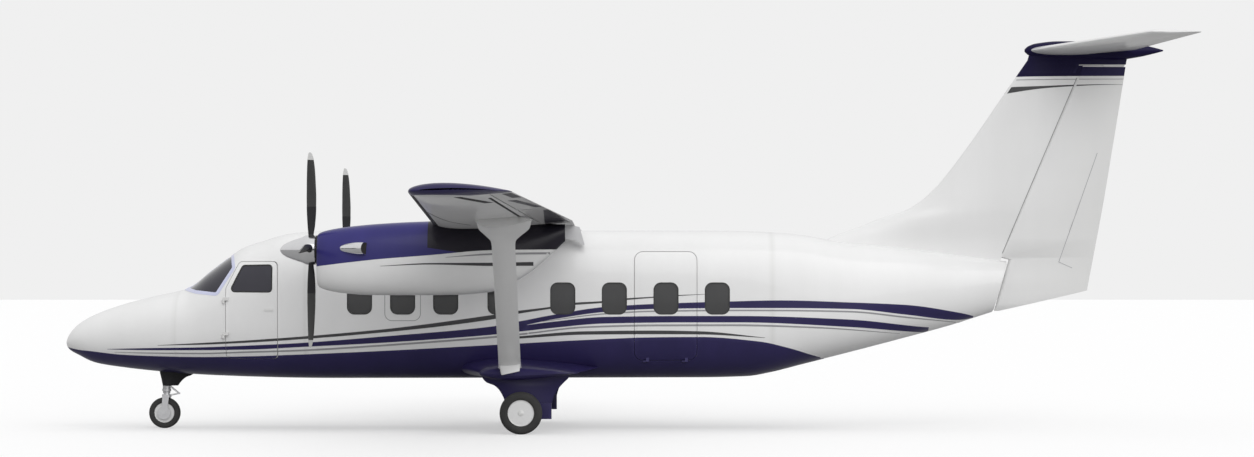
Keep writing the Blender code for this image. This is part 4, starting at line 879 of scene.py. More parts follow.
def wing_band(sign, inner, outer, front_line, rear_line, way):
    """A painted area on the wing's top (way 1) or underside (way -1), between two lines of chord share over y."""
    point = wing_skin(sign)

    def place(y, share, out):
        front, rear = front_line(y), rear_line(y)
        return point(y, way * (front + share * max(rear - front, 0.002)), out)
    return plate(place, steps(inner, outer, 0.25), [number / 12 for number in range(13)])


def surface_mark(sign, inner, outer, start, end, front, rear):
    """A painted area on the straight underside of a movable surface, between two lines of |y|, x."""
    rims = []
    for y in (inner, outer):
        hinge, z, radius = wing_hinge(y)
        rims.append((Vector((hinge, z - radius)), Vector((wing_row(y)[1], wing_row(y)[2] - 0.003))))
    front_line, rear_line = curve(front), curve(rear)

    def place(y, share, out):
        nose, tail = (rims[0][n].lerp(rims[1][n], (y - inner) / (outer - inner)) for n in (0, 1))
        x = min(front_line(y) + share * (rear_line(y) - front_line(y)), tail.x - 0.004)
        depth = nose.y + (tail.y - nose.y) * (x - nose.x) / (tail.x - nose.x)
        return Vector((x, sign * y, depth - out))
    return plate(place, steps(start, end, 0.25), (0.0, 0.5, 1.0))


def flat_bay(sign, inner, outer):
    """The room of a movable surface seen from above, as x, y."""
    corners = []
    for y in (inner - CLEAR, outer + CLEAR):
        hinge, _, radius = wing_hinge(y)
        corners.append((hinge - radius - 2 * CLEAR, sign * y))
    return (*corners, (0.5, sign * (outer + CLEAR)), (0.5, sign * (inner - CLEAR)))


def share_line(points):
    """A line over y given as |y|, x, turned into shares of the chord."""
    line = curve(points)

    def at(y):
        front, rear, _, _ = wing_row(y)
        return max(0.0, min(1.0, (line(y) - front) / (rear - front)))
    return at


def wings():
    for side, sign in SIDES:
        stations = [0.0005, 1.0, 2.2, 3.30, 5.0, 7.0, 9.0, 10.70] + steps(10.74, 11.01, 0.03)
        wing = loft([wing_ring(y, sign) for y in stations])
        for name, inner, outer in WING_SURFACES:
            rings, surface, ends = [], [], []
            for y in (inner, outer):
                hinge, z, radius = wing_hinge(y)
                surface.append([Vector((a, sign * y, b)) for a, b in
                                round_nosed(hinge, z, radius, wing_row(y)[1], wing_row(y)[2])])
                ends.append(Vector((hinge, sign * y, z)))
            for y in (inner - CLEAR, outer + CLEAR):
                hinge, z, radius = wing_hinge(y)
                rings.append([Vector((a, sign * y, b)) for a, b in cove(hinge, z, radius, wing_row(y)[1])])
            shaped(wing, loft(rings))
            along = (ends[1] - ends[0]).normalized() * (CLEAR - 0.001)
            rod = bar(ends[0] - along, ends[1] + along, PIN_RADIUS, points=12)
            piece(f"{name}_{side}", f"{name}_{side}", "white", loft(surface), rod, stands_for=[f"{name}_{side}"])
            marks = [surface_mark(sign, inner, outer, *mark[1:]) for mark in SURFACE_MARKS if mark[0] == name]
            if marks:
                piece(f"{name}_mark_{side}", f"{name}_{side}", "dark_paint_and_painted_shade", *marks)
        piece("wing_" + side, "airframe", "white", wing, stands_for=["wing_" + side])
        cap = loft([grown_ring(wing_ring(y, sign), PAINT) for y in steps(10.70, 11.01, 0.03)])
        below = prism(((-3.0, 2.9), (-0.5, 2.9), (-0.5, TIP_PAINT_LOW[1]), (-3.0, TIP_PAINT_LOW[0])), "y",
                      *sorted((sign * 10.5, sign * TIP_PAINT_UNDER)))
        piece("wing_tip_paint_" + side, "airframe", "navy", shaped(cap, below))
        boot = loft([grown_ring(wing_ring(y, sign), PAINT) for y in steps(3.35, 10.62, 0.5)])
        keep(boot, boot_room(sign))
        piece("wing_boot_" + side, "airframe", "boot", boot)
        bays = [prism(flat_bay(sign, inner, outer), "z", 2.0, 4.0) for _, inner, outer in WING_SURFACES]
        for number, (look, inner, outer, front, rear) in enumerate(WING_MARKS):
            mark = wing_band(sign, inner, outer, share_line(front), share_line(rear), -1)
            for bay in bays:
                shaped(mark, bay)
            piece(f"wing_mark_{number}_{side}", "airframe", look, mark)
        root = []
        for y in steps(0.90, ROOT_FAIRING_Y, 0.05):
            edge = [(a, b) for a, b in ROOT_FAIRING]
            root.append([Vector((a, sign * y, b)) for a, b in edge])
        piece("wing_root_fairing_" + side, "airframe", "fairing", loft(root))


# Struts and stub wings
STRUT_FOOT = (-1.540, 2.060, 0.880)
STRUT_HEAD = (-1.525, 5.520, 3.040)
STRUT_CHORD = 0.320
STRUT_THICKNESS = 0.095
# share of the length, chord, thickness
STRUT_FLARE = ((0.0, 1.25, 1.2), (0.06, 1.02, 1.0), (0.12, 1.0, 1.0), (0.84, 1.0, 1.0), (0.872, 1.06, 1.0),
               (0.902, 1.44, 1.1), (0.926, 1.84, 1.2), (0.950, 2.16, 1.5), (0.985, 2.30, 2.0), (1.0, 2.35, 2.4))
# The strut's foot outside the stub wing: z, front x, rear x, thickness, |y|
STRUT_SHOE = ((0.868, -1.638, -1.378, 0.060, 2.306), (0.890, -1.650, -1.376, 0.075, 2.306),
              (1.000, -1.672, -1.372, 0.085, 2.306), (1.060, -1.680, -1.368, 0.085, 2.330))
SHOE_RISE = (0.22, 0.22, 0.08, 0.0)         # how steeply each of these rises towards its rear
# Stub wings: |y|, front x, rear x, middle z, thickness
STUB = (
    (0.55, -2.420, -0.150, 0.960, 0.330),
    (1.00, -2.200, -0.330, 0.925, 0.270),
    (1.60, -2.020, -0.500, 0.898, 0.220),
    (2.15, -1.965, -0.548, 0.890, 0.200),
    (2.24, -1.900, -0.640, 0.890, 0.150),
    (2.28, -1.780, -0.800, 0.890, 0.060),
)


def stub_ring(row, sign):
    y, front, rear, z, thickness = row
    return [Vector((x, sign * y, z + height)) for x, height in aerofoil(front, rear, thickness)]


def stubs_and_struts():
    flare = curves(STRUT_FLARE)
    root = curves(STUB[:4])
    tip = curves(STUB[3:])
    for side, sign in SIDES:
        rows = [(y, *[line(y) for line in root]) for y in steps(0.55, 2.15, 0.16)]
        rows += [(y, *[line(y) for line in tip]) for y in steps(2.165, 2.28, 0.012)]
        piece("stub_wing_" + side, "airframe", "navy", loft([stub_ring(row, sign) for row in rows]),
              stands_for=["stub_wing_" + side])
        foot = Vector((STRUT_FOOT[0], sign * STRUT_FOOT[1], STRUT_FOOT[2]))
        head = Vector((STRUT_HEAD[0], sign * STRUT_HEAD[1], STRUT_HEAD[2]))
        upward = (head - foot).normalized().cross(Vector((1, 0, 0))) * -sign
        rings = []
        for share in steps(0.0, 0.12, 0.02)[:-1] + steps(0.12, 0.84, 0.09)[:-1] + steps(0.84, 1.0, 0.01):
            chord, thickness = (line(share) for line in flare)
            middle = foot.lerp(head, share)
            outline = aerofoil(-STRUT_CHORD * chord * 0.45, STRUT_CHORD * chord * 0.55, STRUT_THICKNESS * thickness)
            rings.append([middle + Vector((x, 0, 0)) + upward * height for x, height in outline])
        shoe = [[Vector((x, sign * y + across, z + rise * (x - front)))
                 for x, across in aerofoil(front, rear, thickness)]
                for (z, front, rear, thickness, y), rise in zip(STRUT_SHOE, SHOE_RISE)]
        piece("wing_strut_" + side, "airframe", "white", loft(rings), loft(shoe), stands_for=["wing_strut_" + side])


# Engines
ENGINE_Y = 2.800
PROP_AXIS_Z = 2.673
PROP_X = -4.349
PROP_RADIUS = 1.397
SPINNER_TIP = -4.793
SPINNER_BASE = -4.278
SPINNER_RADIUS = 0.215
FIREWALL = -2.450
# Nacelle sections: x, top z, bottom z, half width, roundness
NACELLE = (
    (-4.250, 2.905, 2.150, 0.250, 2.4),
    (-4.150, 2.945, 2.105, 0.300, 2.4),
    (-3.850, 3.000, 2.050, 0.355, 2.5),
    (-3.400, 3.045, 2.025, 0.380, 2.6),
    (-2.830, 3.077, 2.025, 0.385, 2.6),
    (-2.300, 3.090, 2.030, 0.380, 2.6),
    (-1.790, 3.090, 2.070, 0.350, 2.5),
    (-1.350, 3.070, 2.260, 0.280, 2.4),
    (-0.950, 3.050, 2.570, 0.180, 2.2),
    (-0.710, 3.040, 2.800, 0.085, 2.0),
)
NACELLE_CURVES = curves(NACELLE)
NACELLE_FRONT, NACELLE_REAR = NACELLE[0][0], NACELLE[-1][0]
STACK_Z = 2.690
STACK_SLANT = 0.053                 # how far its mouth leans outwards
# Exhaust stack: x, distance from the engine's axis, radius
STACK = (
    (-3.920, 0.296, 0.022),
    (-3.895, 0.312, 0.044),
    (-3.810, 0.336, 0.070),
    (-3.720, 0.358, 0.086),
    (-3.640, 0.378, 0.092),
    (-3.541, 0.400, 0.091),
)


def cowl_point(middle_y):
    """The nacelle's surface as x, turn from its +Y side over the top, distance over it."""
    def point(x, turn, out):
        top, bottom, half, roundness = (line(x) for line in NACELLE_CURVES)
        y = math.copysign(abs(math.cos(turn)) ** (2 / roundness), math.cos(turn))
        z = math.copysign(abs(math.sin(turn)) ** (2 / roundness), math.sin(turn))
        return Vector((x, middle_y + y * (half + out), (top + bottom) / 2 + z * ((top - bottom) / 2 + out)))
    return point


def cowl_turn(x, z, sign):
    top, bottom, _, roundness = (line(x) for line in NACELLE_CURVES)
    share = max(-1.0, min(1.0, (z - (top + bottom) / 2) * 2 / (top - bottom)))
    turn = math.asin(math.copysign(abs(share) ** (roundness / 2), share))
    return turn if sign > 0 else math.pi - turn


COWL_LINE = curve(((-4.25, 2.435), (-4.21, 2.440), (-3.75, 2.495), (-3.388, 2.534), (-2.62, 2.595), (-1.77, 2.665),
                   (-0.82, 2.680), (-0.70, 2.684)))
# Lines under the navy of the nacelle: look, start, end, lower line, upper line
COWL_STRIPES = (
    ("pale_paint", -2.40, -0.86, ((-2.40, 2.560), (-1.77, 2.595), (-0.86, 2.612)),
     ((-2.40, 2.566), (-1.77, 2.620), (-0.86, 2.642))),
    ("grey_paint", -3.33, -1.16, ((-3.33, 2.437), (-2.62, 2.462), (-1.77, 2.442), (-1.16, 2.446)),
     ((-3.33, 2.441), (-2.62, 2.482), (-1.77, 2.487), (-1.16, 2.500))),
)

# Painted shade, near-black, on the nacelle's navy behind the wing's front edge, under the wing: x, z
NACELLE_PAINTED_SHADE = ((-2.66, 2.700), (-2.05, 2.610), (-1.95, 2.0), (-0.50, 2.0), (-0.50, 3.4), (-2.66, 3.4))


def nacelle(side, sign):
    middle = sign * ENGINE_Y
    point = cowl_point(middle)
    turns = [2 * math.pi * number / 72 for number in range(72)]
    # The front lip rolls in: distance behind the front, distance inwards
    lip = ((0.150, 0.150), (0.060, 0.070), (0.012, 0.045), (0.000, 0.028), (0.004, 0.012), (0.025, 0.002))
    rings = []
    for back, inwards in lip:
        rings.append([point(NACELLE_FRONT + back, turn, -inwards) for turn in turns])
    rings += [[point(x, turn, 0.0) for turn in turns] for x in steps(NACELLE_FRONT + 0.05, NACELLE_REAR, 0.06)]
    cowl = loft(rings)
    # Chin inlet: x, middle z, half width, half height
    duct = []
    for x, z, wide, tall in ((-4.40, 2.300, 0.175, 0.085), (-4.20, 2.300, 0.165, 0.080), (-3.95, 2.310, 0.150, 0.075),
                             (-3.60, 2.330, 0.130, 0.070)):
        duct.append([Vector((x, middle + wide * math.copysign(abs(math.cos(turn)) ** 0.7, math.cos(turn)),
                             z + tall * math.copysign(abs(math.sin(turn)) ** 0.7, math.sin(turn))))
                     for turn in turns[::2]])
    duct_tool = loft(duct)
    shaped(cowl, duct_tool)
    top = [(x, COWL_LINE(x)) for x in steps(NACELLE_FRONT, -0.70, 0.15)]
    line = [(-4.60, top[0][1])] + top + [(-0.50, top[-1][1]), (-0.50, 3.40), (-4.60, 3.40)]
    white, navy = parted(cowl, prism(line, "y", middle - 0.60, middle + 0.60))
    piece("nacelle_" + side, "airframe", "white", white, stands_for=["nacelle_" + side])
    shade = prism(NACELLE_PAINTED_SHADE, "y", middle - 0.60, middle + 0.60)
    # Behind the wing's front edge the navy top gets near-black painted shade
    front_top, rear_top = parted(navy, shade)
    piece("nacelle_top_" + side, "airframe", "cowl_navy", front_top)
    piece("nacelle_painted_shade_" + side, "airframe", "dark_paint_and_painted_shade", rear_top)

    def liner(x, turn, out):
        return duct_ring(x, turn, out, middle)
    # The chin inlet's duct is lined in near-black: painted shade of the duct
    piece("chin_duct_" + side, "airframe", "soot_and_painted_shade",
          plate(liner, steps(-4.19, -3.62, 0.08), [number / 36 for number in range(37)], 0.004, 0.0005))
    for look in ("pale_paint", "grey_paint"):
        bands = []
        for kind, start, end, lower, upper in COWL_STRIPES:
            if kind == look:
                low, high = curve(lower), curve(upper)
                for way in (-1, 1):
                    bands.append(plate(lambda x, share, out: point(
                        x, cowl_turn(x, low(x) + share * max(high(x) - low(x), 0.0015), way), out),
                        steps(start, end, 0.07), (0.0, 0.5, 1.0)))
        piece(f"nacelle_{look}_{side}", "airframe", look, *bands)


def duct_ring(x, turn_share, out, middle):
    """The lining of the chin inlet's duct."""
    turn = 2 * math.pi * turn_share
    share = (x + 4.20) / 0.60
    wide, tall, z = 0.165 - 0.035 * share - 0.002, 0.080 - 0.010 * share - 0.002, 2.300 + 0.030 * share
    return Vector((x, middle + (wide - out) * math.copysign(abs(math.cos(turn)) ** 0.7, math.cos(turn)),
                   z + (tall - out) * math.copysign(abs(math.sin(turn)) ** 0.7, math.sin(turn))))


def engine(side, sign):
    y = sign * ENGINE_Y
    z = PROP_AXIS_Z
    # The turbine from front to rear: x, radius
    core = [(-4.262, 0.085), (-4.20, 0.090), (-4.10, 0.120), (-4.06, 0.195), (-3.95, 0.225), (-3.80, 0.225),
            (-3.74, 0.200), (-3.40, 0.200), (-3.34, 0.232), (-3.10, 0.232), (-3.04, 0.215), (-2.62, 0.215),
            (-2.56, 0.235), (FIREWALL, 0.235), (FIREWALL, 0.05), (-4.262, 0.05)]
    block = turned((0, y, z - 0.03), core, "x", 48)
    piece("engine_" + side, "airframe", "engine", block, stands_for=["engine_" + side])
    stacks, bores = [], []
    front, rear = STACK[0][0], STACK[-1][0]
    places = curves(STACK)
    for way in (-1, 1):
        outer = [(x, places[0](x), places[1](x)) for x in steps(front, rear, 0.03)]
        inner = [(x, places[0](x), places[1](x) - 0.008) for x in steps(rear - 0.13, rear, 0.03)]
        turns = [2 * math.pi * number / 32 for number in range(32)]

        def rings(rows):
            made = []
            for x, out, size in rows:
                slant = STACK_SLANT * max(0.0, (x - rear) / 0.20 + 1.0)
                made.append([Vector((x - slant * math.cos(turn), y + way * (out + size * math.cos(turn)),
                                     STACK_Z + size * math.sin(turn))) for turn in turns])
            return made
        stacks.append(loft(rings(outer) + rings(inner)[::-1]))
        # Soot and painted shade of the deep bore fill it up to just inside the mouth
        bores.append(loft(rings([(x, out, size - 0.0012) for x, out, size in inner[:-1]] +
                                [(rear - 0.006, inner[-1][1], inner[-1][2] - 0.0012)])))
    collar = [(-4.270, 0.206), (-4.262, 0.210), (-4.236, 0.210), (-4.236, 0.086), (-4.270, 0.086)]
    # A near-black ring behind the spinner, inside the cowl's front: painted shade of the opening
    piece("inlet_collar_" + side, "airframe", "soot_and_painted_shade", turned((0, y, z), collar, "x", 64))
    piece("exhaust_stacks_" + side, "airframe", "chrome", *stacks)
    piece("exhaust_bores_" + side, "airframe", "soot_and_painted_shade", *bores)


# Propeller blade: radius, chord, thickness, angle of the section to the disc, how far its middle leads
BLADE = (
    (0.150, 0.072, 0.062, 74, 0.000),
    (0.225, 0.076, 0.056, 70, 0.000),
    (0.330, 0.108, 0.042, 62, 0.004),
    (0.600, 0.158, 0.030, 52, 0.008),
    (0.800, 0.172, 0.025, 47, 0.008),
    (0.950, 0.172, 0.021, 43, 0.005),
    (1.150, 0.162, 0.017, 39, 0.000),
    (1.290, 0.135, 0.013, 36, -0.008),
    (1.360, 0.095, 0.009, 35, -0.016),
    (1.385, 0.065, 0.006, 35, -0.020),
    (PROP_RADIUS, 0.020, 0.003, 35, -0.024),
)
BLADE_CURVES = curves(BLADE)
TIP_MARK = 1.290
# Spinner: distance behind its tip, radius; a cone in front and a drum behind
SPINNER = ((0.0, 0.0), (0.006, 0.022), (0.022, 0.048), (0.050, 0.073), (0.113, 0.110), (0.226, 0.153), (0.325, 0.187),
           (0.360, 0.204), (0.395, 0.213), (0.511, SPINNER_RADIUS))
ROOT_HOLE = 0.040                   # radius of a blade's hole in the spinner


def blade(middle, turn, start, end, count, out=0.0):
    """A stretch of a blade that points up before it is turned about the shaft."""
    rings = []
    for radius in steps(start, end, (end - start) / count):
        chord, thickness, pitch, lead = (line(radius) for line in BLADE_CURVES)
        angle = math.radians(pitch)
        ring = []
        for number in range(28):
            place = 2 * math.pi * number / 28
            along = math.cos(place) * (chord / 2 + out) + lead
            across = math.sin(place) * (thickness / 2 + out) * (1 + 0.25 * math.cos(place))
            ring.append(middle + turn @ Vector((along * math.sin(angle) + across * math.cos(angle),
                                                along * math.cos(angle) - across * math.sin(angle), radius)))
        rings.append(ring)
    return loft(rings)


def propeller(side, sign):
    middle = Vector((PROP_X, sign * ENGINE_Y, PROP_AXIS_Z))
    body = "propeller_" + side
    turns = [Matrix.Rotation(math.pi / 2 * number, 3, "X") for number in range(4)]
    blades = [blade(middle, turn, 0.150, PROP_RADIUS, 40) for turn in turns]
    tips = [blade(middle, turn, TIP_MARK, PROP_RADIUS - 0.002, 10, 0.0012) for turn in turns]
    boots = [blade(middle, turn, 0.222, 0.62, 10, 0.0015) for turn in turns]
    piece("propeller_" + side, body, "blade", *blades, stands_for=["propeller_" + side])
    piece("blade_tips_" + side, body, "blade_tip", *tips)
    piece("blade_boots_" + side, body, "boot", *boots)
    radius = curve(SPINNER)
    outline = [(SPINNER_TIP + along, radius(along)) for along in
               [0.0, 0.002, 0.006, 0.012, 0.022, 0.036] + steps(0.050, SPINNER[-1][0], 0.018)]
    outline += [(SPINNER_BASE, SPINNER_RADIUS - 0.004), (SPINNER_BASE, 0.09)]
    shell = turned((0, middle.y, middle.z), [(outline[0][0], 0.0)] + outline[1:] + [(SPINNER_BASE, 0.0)], "x", 64)
    for turn in turns:
        root = [middle + turn @ Vector((ROOT_HOLE * math.cos(2 * math.pi * number / 32),
                                        ROOT_HOLE * math.sin(2 * math.pi * number / 32), 0.10)) for number in range(32)]
        reach_out = turn @ Vector((0, 0, 0.2))
        shaped(shell, loft([root, [point + reach_out for point in root]]))
    piece("spinner_" + side, body, "chrome", shell, stands_for=["spinner_" + side])
    cuffs = [loft([[middle + turn @ Vector(((ROOT_HOLE - 0.002) * math.cos(2 * math.pi * number / 32),
                                            (ROOT_HOLE - 0.002) * math.sin(2 * math.pi * number / 32), radius))
                    for number in range(32)] for radius in (0.08, 0.195)]) for turn in turns]
    # Near-black cuffs in the spinner's holes: painted shade round the blade roots
    piece("blade_roots_" + side, body, "soot_and_painted_shade", *cuffs)


# Landing gear
LEG_Y = 1.900
# Leg fairing slices: z, front x, rear x, thickness
LEG = (
    (0.900, -1.950, -0.660, 0.150),
    (0.830, -1.940, -0.670, 0.150),
    (0.748, -1.873, -0.745, 0.150),
    (0.708, -1.766, -0.783, 0.150),
    (0.639, -1.690, -0.843, 0.148),
    (0.506, -1.618, -0.905, 0.146),
    (0.416, -1.590, -0.925, 0.142),
    (0.330, -1.570, -0.930, 0.125),
)
# The block at the leg's foot: z, front x, rear x, thickness
LEG_FOOT = ((0.450, -1.560, -0.924, 0.110), (0.330, -1.552, -0.924, 0.110), (0.216, -1.500, -0.924, 0.100))
MAIN_WHEEL = (-1.365, 2.115, 0.310)
NOSE_WHEEL = (-6.857, 0.0, 0.235)
STEER_X = -6.830


def tyre_outline(radius, width, rim):
    """A tyre from bead to bead with four tread grooves, as distance across, radius."""
    half = width / 2
    wall = radius - rim
    side = [(half * 0.78, rim + 0.002), (half * 0.86, rim + 0.004), (half * 0.97, rim + 0.18 * wall),
            (half, rim + 0.42 * wall), (half * 0.985, rim + 0.60 * wall), (half * 0.93, rim + 0.76 * wall),
            (half * 0.84, rim + 0.88 * wall), (half * 0.70, rim + 0.955 * wall)]
    tread = []
    for middle in (0.52, 0.19):
        for offset, depth in ((0.045, 0.0), (0.035, 0.007), (-0.035, 0.007), (-0.045, 0.0)):
            across = middle + offset
            tread.append((half * across, radius - 0.028 * wall * across ** 2 - depth))
    outer = side + tread
    return outer + [(-a, b) for a, b in reversed(outer)]


def rim_side(radius, width, boss):
    """One face of a wheel, from its rolled rim over its dished disc to its hub cap, as distance across, radius."""
    half = width / 2
    return [(half * 0.82, radius + 0.001), (half * 0.86, radius * 0.985), (half * 0.84, radius * 0.94),
            (half * 0.70, radius * 0.90), (half * 0.46, radius * 0.84), (half * 0.42, radius * 0.66),
            (half * 0.50, radius * 0.44), (boss * 0.86, radius * 0.40), (boss * 0.92, radius * 0.36),
            (boss * 0.97, radius * 0.22), (boss, radius * 0.18), (boss, 0.0)]


def rim_outline(radius, width, boss, sign):
    """A wheel with a dished outer face and a plain inner one, as distance across, radius."""
    half = width / 2
    inner = [(-half * 0.72, 0.0), (-half * 0.72, radius * 0.30), (-half * 0.40, radius * 0.34),
             (-half * 0.40, radius * 0.80), (-half * 0.80, radius * 0.94), (-half * 0.82, radius + 0.001)]
    return [(sign * a, b) for a, b in rim_side(radius, width, boss) + inner]


def bolts(center, ring_radius, across, size, count, sign):
    made = []
    for number in range(count):
        turn = 2 * math.pi * number / count
        start = Vector(center) + Vector((ring_radius * math.cos(turn), sign * (across - 0.01), ring_radius * math.sin(turn)))
        made.append(bar(start, start + Vector((0, sign * 0.022, 0)), size, points=6))
    return made


def wheel(name, body, center, width, rim, boss, sign, bolt_count, both=False):
    x, y, radius = center
    center = (x, sign * y, radius)
    piece(name + "_tyre", body, "tyre", turned(center, tyre_outline(radius, width, rim), points=96),
          stands_for=[name + "_tyre"], crease=28)
    studs = bolts(center, rim * 0.58, width / 2 * 0.48, rim * 0.045, bolt_count, sign)
    outline = rim_outline(rim, width, boss, sign)
    if both:
        face = rim_side(rim, width, boss)
        outline = face + [(-a, b) for a, b in reversed(face[:-1])]
        outline.insert(len(face), (-boss, 0.0))
        studs += bolts(center, rim * 0.58, width / 2 * 0.48, rim * 0.045, bolt_count, -sign)
    piece(name + "_wheel", body, "wheel", turned(center, outline, points=72), stands_for=[name + "_wheel"])
    half = width / 2
    ring = [(half * 0.50, rim * 0.845), (half * 0.425, rim * 0.66), (half * 0.505, rim * 0.44), (half * 0.40, rim * 0.44),
            (half * 0.36, rim * 0.66), (half * 0.40, rim * 0.845)]
    faces = [turned(center, [(way * (a + 0.003), b) for a, b in ring], points=72)
             for way in ((sign, -sign) if both else (sign,))]
    piece(name + "_wheel_disc", body, "disc", *faces)
    piece(name + "_wheel_bolts", body, "metal", *studs)


def main_gear(side, sign):
    slices = curves(tuple((-z, a, b, c) for z, a, b, c in LEG))
    rings = []
    for z in steps(0.900, 0.330, 0.019):
        front, rear, thickness = (line(-z) for line in slices)
        rings.append([Vector((x, sign * LEG_Y + across, z)) for x, across in aerofoil(front, rear, thickness)])
    block = []
    for z, front, rear, thickness in LEG_FOOT:
        corners = ((front, -thickness / 2), (rear, -thickness / 2), (rear, thickness / 2), (front, thickness / 2))
        block.append([Vector((x, sign * LEG_Y + across, z)) for x, across in rounded(corners, 0.040)])
    piece("main_leg_" + side, "airframe", "navy", loft(rings), loft(block), stands_for=["main_leg_" + side])
    x, y, z = MAIN_WHEEL
    axle_end = LEG_Y + 0.114
    axle = bar((x, sign * (LEG_Y - 0.02), z), (x, sign * axle_end, z), 0.034)
    flange = bar((x, sign * (LEG_Y + 0.05), z), (x, sign * (LEG_Y + 0.075), z), 0.075)
    piece("main_axle_" + side, "airframe", "metal", axle, flange)
    wheel("main_" + side, "main_wheel_" + side, MAIN_WHEEL, 0.200, 0.190, 0.085, sign, 8)


def nose_gear():
    # Fairing slices: z, front x, rear x, thickness
    table = ((0.950, -6.950, -6.300, 0.250), (0.810, -6.925, -6.445, 0.225), (0.776, -6.915, -6.534, 0.205),
             (0.700, -6.900, -6.617, 0.185), (0.648, -6.888, -6.655, 0.172))
    slices = curves(tuple((-z, a, b, c) for z, a, b, c in table))
    rings = []
    for z in steps(0.950, 0.648, 0.02):
        front, rear, thickness = (line(-z) for line in slices)
        rings.append([Vector((x, across, z)) for x, across in aerofoil(front, rear, thickness)])
    piece("nose_gear_fairing", "airframe", "boot", loft(rings), stands_for=["nose_gear_fairing"])
    cylinder_rings = ((0.660, 0.060), (0.600, 0.060), (0.595, 0.068), (0.565, 0.068), (0.560, 0.056), (0.5305, 0.056))
    body = loft([[Vector((STEER_X + size * math.cos(turn), size * math.sin(turn), z))
                  for turn in [2 * math.pi * number / 40 for number in range(40)]] for z, size in cylinder_rings])
    piece("nose_strut", "airframe", "metal", body, stands_for=["nose_strut"])
    x, _, z = NOSE_WHEEL
    collar = bar((STEER_X, 0, 0.5295), (STEER_X, 0, 0.475), 0.045, 0.050, 40)
    crown = rounded(((x - 0.030, -0.122), (STEER_X + 0.060, -0.122), (STEER_X + 0.060, 0.122), (x - 0.030, 0.122)), 0.030)
    forks = [collar, prism(crown, "z", 0.470, 0.515)]
    for sign in (-1, 1):
        leg = rounded(((x - 0.045, z - 0.045), (x + 0.045, z - 0.045), (STEER_X + 0.050, 0.495), (x - 0.020, 0.495)), 0.020)
        forks.append(prism(leg, "y", *sorted((sign * 0.096, sign * 0.119))))
        forks.append(bar((x, sign * 0.096, z), (x, sign * 0.112, z), 0.100, points=48))
        forks.append(bar((x, sign * 0.095, z), (x, sign * 0.132, z), 0.026))
    piece("nose_fork", "nose_steering", "metal", *forks, stands_for=["nose_fork"])
    # Torque link: two arms that meet behind the strut
    apex = Vector((-6.640, 0, 0.530))
    links = []
    for start, half in ((Vector((STEER_X + 0.050, 0, 0.642)), 0.028), (Vector((STEER_X + 0.045, 0, 0.500)), 0.028)):
        for sign in (-1, 1):
            links.append(bar(start + Vector((0, sign * half, 0)), apex + Vector((0, sign * 0.010, 0)), 0.012, 0.011, 12))
    upper, lower = links[:2], links[2:]
    piece("torque_link_upper", "airframe", "metal", *upper)
    piece("torque_link_lower", "nose_steering", "metal", *lower,
          bar(apex + Vector((0, -0.026, 0)), apex + Vector((0, 0.026, 0)), 0.014))
    wheel("nose", "nose_wheel", NOSE_WHEEL, 0.150, 0.150, 0.0945, 1, 6, both=True)


# Tail
FIN_HINGE_FOOT = Vector((5.882, 0.0, 2.545))
FIN_HINGE_SLOPE = 0.4245
# Fin slices: z, leading edge x, thickness
FIN = (
    (2.450, 2.950, 0.200),
    (2.850, 3.200, 0.230),
    (3.090, 3.790, 0.265),
    (3.230, 4.140, 0.275),
    (3.310, 4.420, 0.275),
    (3.580, 4.800, 0.270),
    (4.130, 5.257, 0.250),
    (5.110, 5.943, 0.200),
    (5.640, 6.310, 0.175),
)
FIN_TRAILING = ((2.095, 7.190), (3.398, 7.436), (4.876, 7.680), (5.640, 7.800))
RUDDER_TOP = 5.500
FIN_CAP_BOTTOM = 5.538
RUDDER_BOTTOM = 1.785
RUDDER_SHELF = (2.565, 2.605)
TAIL_GAP = 0.032
# Bullet sections: x, half height, half width
BULLET = ((6.240, 0.020, 0.020), (6.290, 0.065, 0.060), (6.420, 0.110, 0.105), (6.750, 0.143, 0.135),
          (7.650, 0.143, 0.135), (7.950, 0.105, 0.100), (8.200, 0.050, 0.048), (8.350, 0.010, 0.010))
BULLET_Z = 5.750
# Stabiliser stations: |y|, leading edge x, trailing edge x, thickness
STABILISER = ((0.00, 6.300, 7.860, 0.150), (3.30, 7.550, 8.300, 0.085), (3.38, 7.600, 8.290, 0.060),
              (3.41, 7.690, 8.250, 0.020))
STABILISER_HINGE = 0.620
ELEVATOR = (0.175, 3.26)


FIN_FRONT = curve([(row[0], row[1]) for row in FIN])


def fin_row(z):
    return FIN_FRONT(z), between(FIN_TRAILING, max(z, FIN_TRAILING[0][0]), 1), between(FIN, z, 2)


def fin_hinge(z):
    """Hinge x and half thickness there, at a height of the fin."""
    front, rear, thickness = fin_row(z)
    x = FIN_HINGE_FOOT.x + FIN_HINGE_SLOPE * (z - FIN_HINGE_FOOT.z)
    return x, half_thickness((x - front) / (rear - front)) * thickness


def fin_skin(z, x, sign, out):
    """The fin's side at a height and an x, also over the rudder behind its hinge."""
    front, rear, thickness = fin_row(z)
    hinge, radius = fin_hinge(z)
    if x <= hinge:
        across = half_thickness(max(0.0, (x - front) / (rear - front))) * thickness
    else:
        across = radius + (0.003 - radius) * (x - hinge) / (rear - hinge)
    return Vector((x, sign * (across + out), z))


def fin_band(sign, start, end, lower, upper, rows=3):
    """A painted band across the fin or the rudder: start and end give x at a height, the lines z along x."""
    def point(share_along, share, out):
        middle = (lower(6.9) + upper(6.9)) / 2
        x = start(middle) + (end(middle) - start(middle)) * share_along
        z = lower(x) + (upper(x) - lower(x)) * share
        x = start(z) + (end(z) - start(z)) * share_along
        return fin_skin(z, x, sign, out)
    return plate(point, [number / 24 for number in range(25)], [number / (rows - 1) for number in range(rows)])


def fin_front_edge(z):
    return FIN_FRONT(z) + 0.001


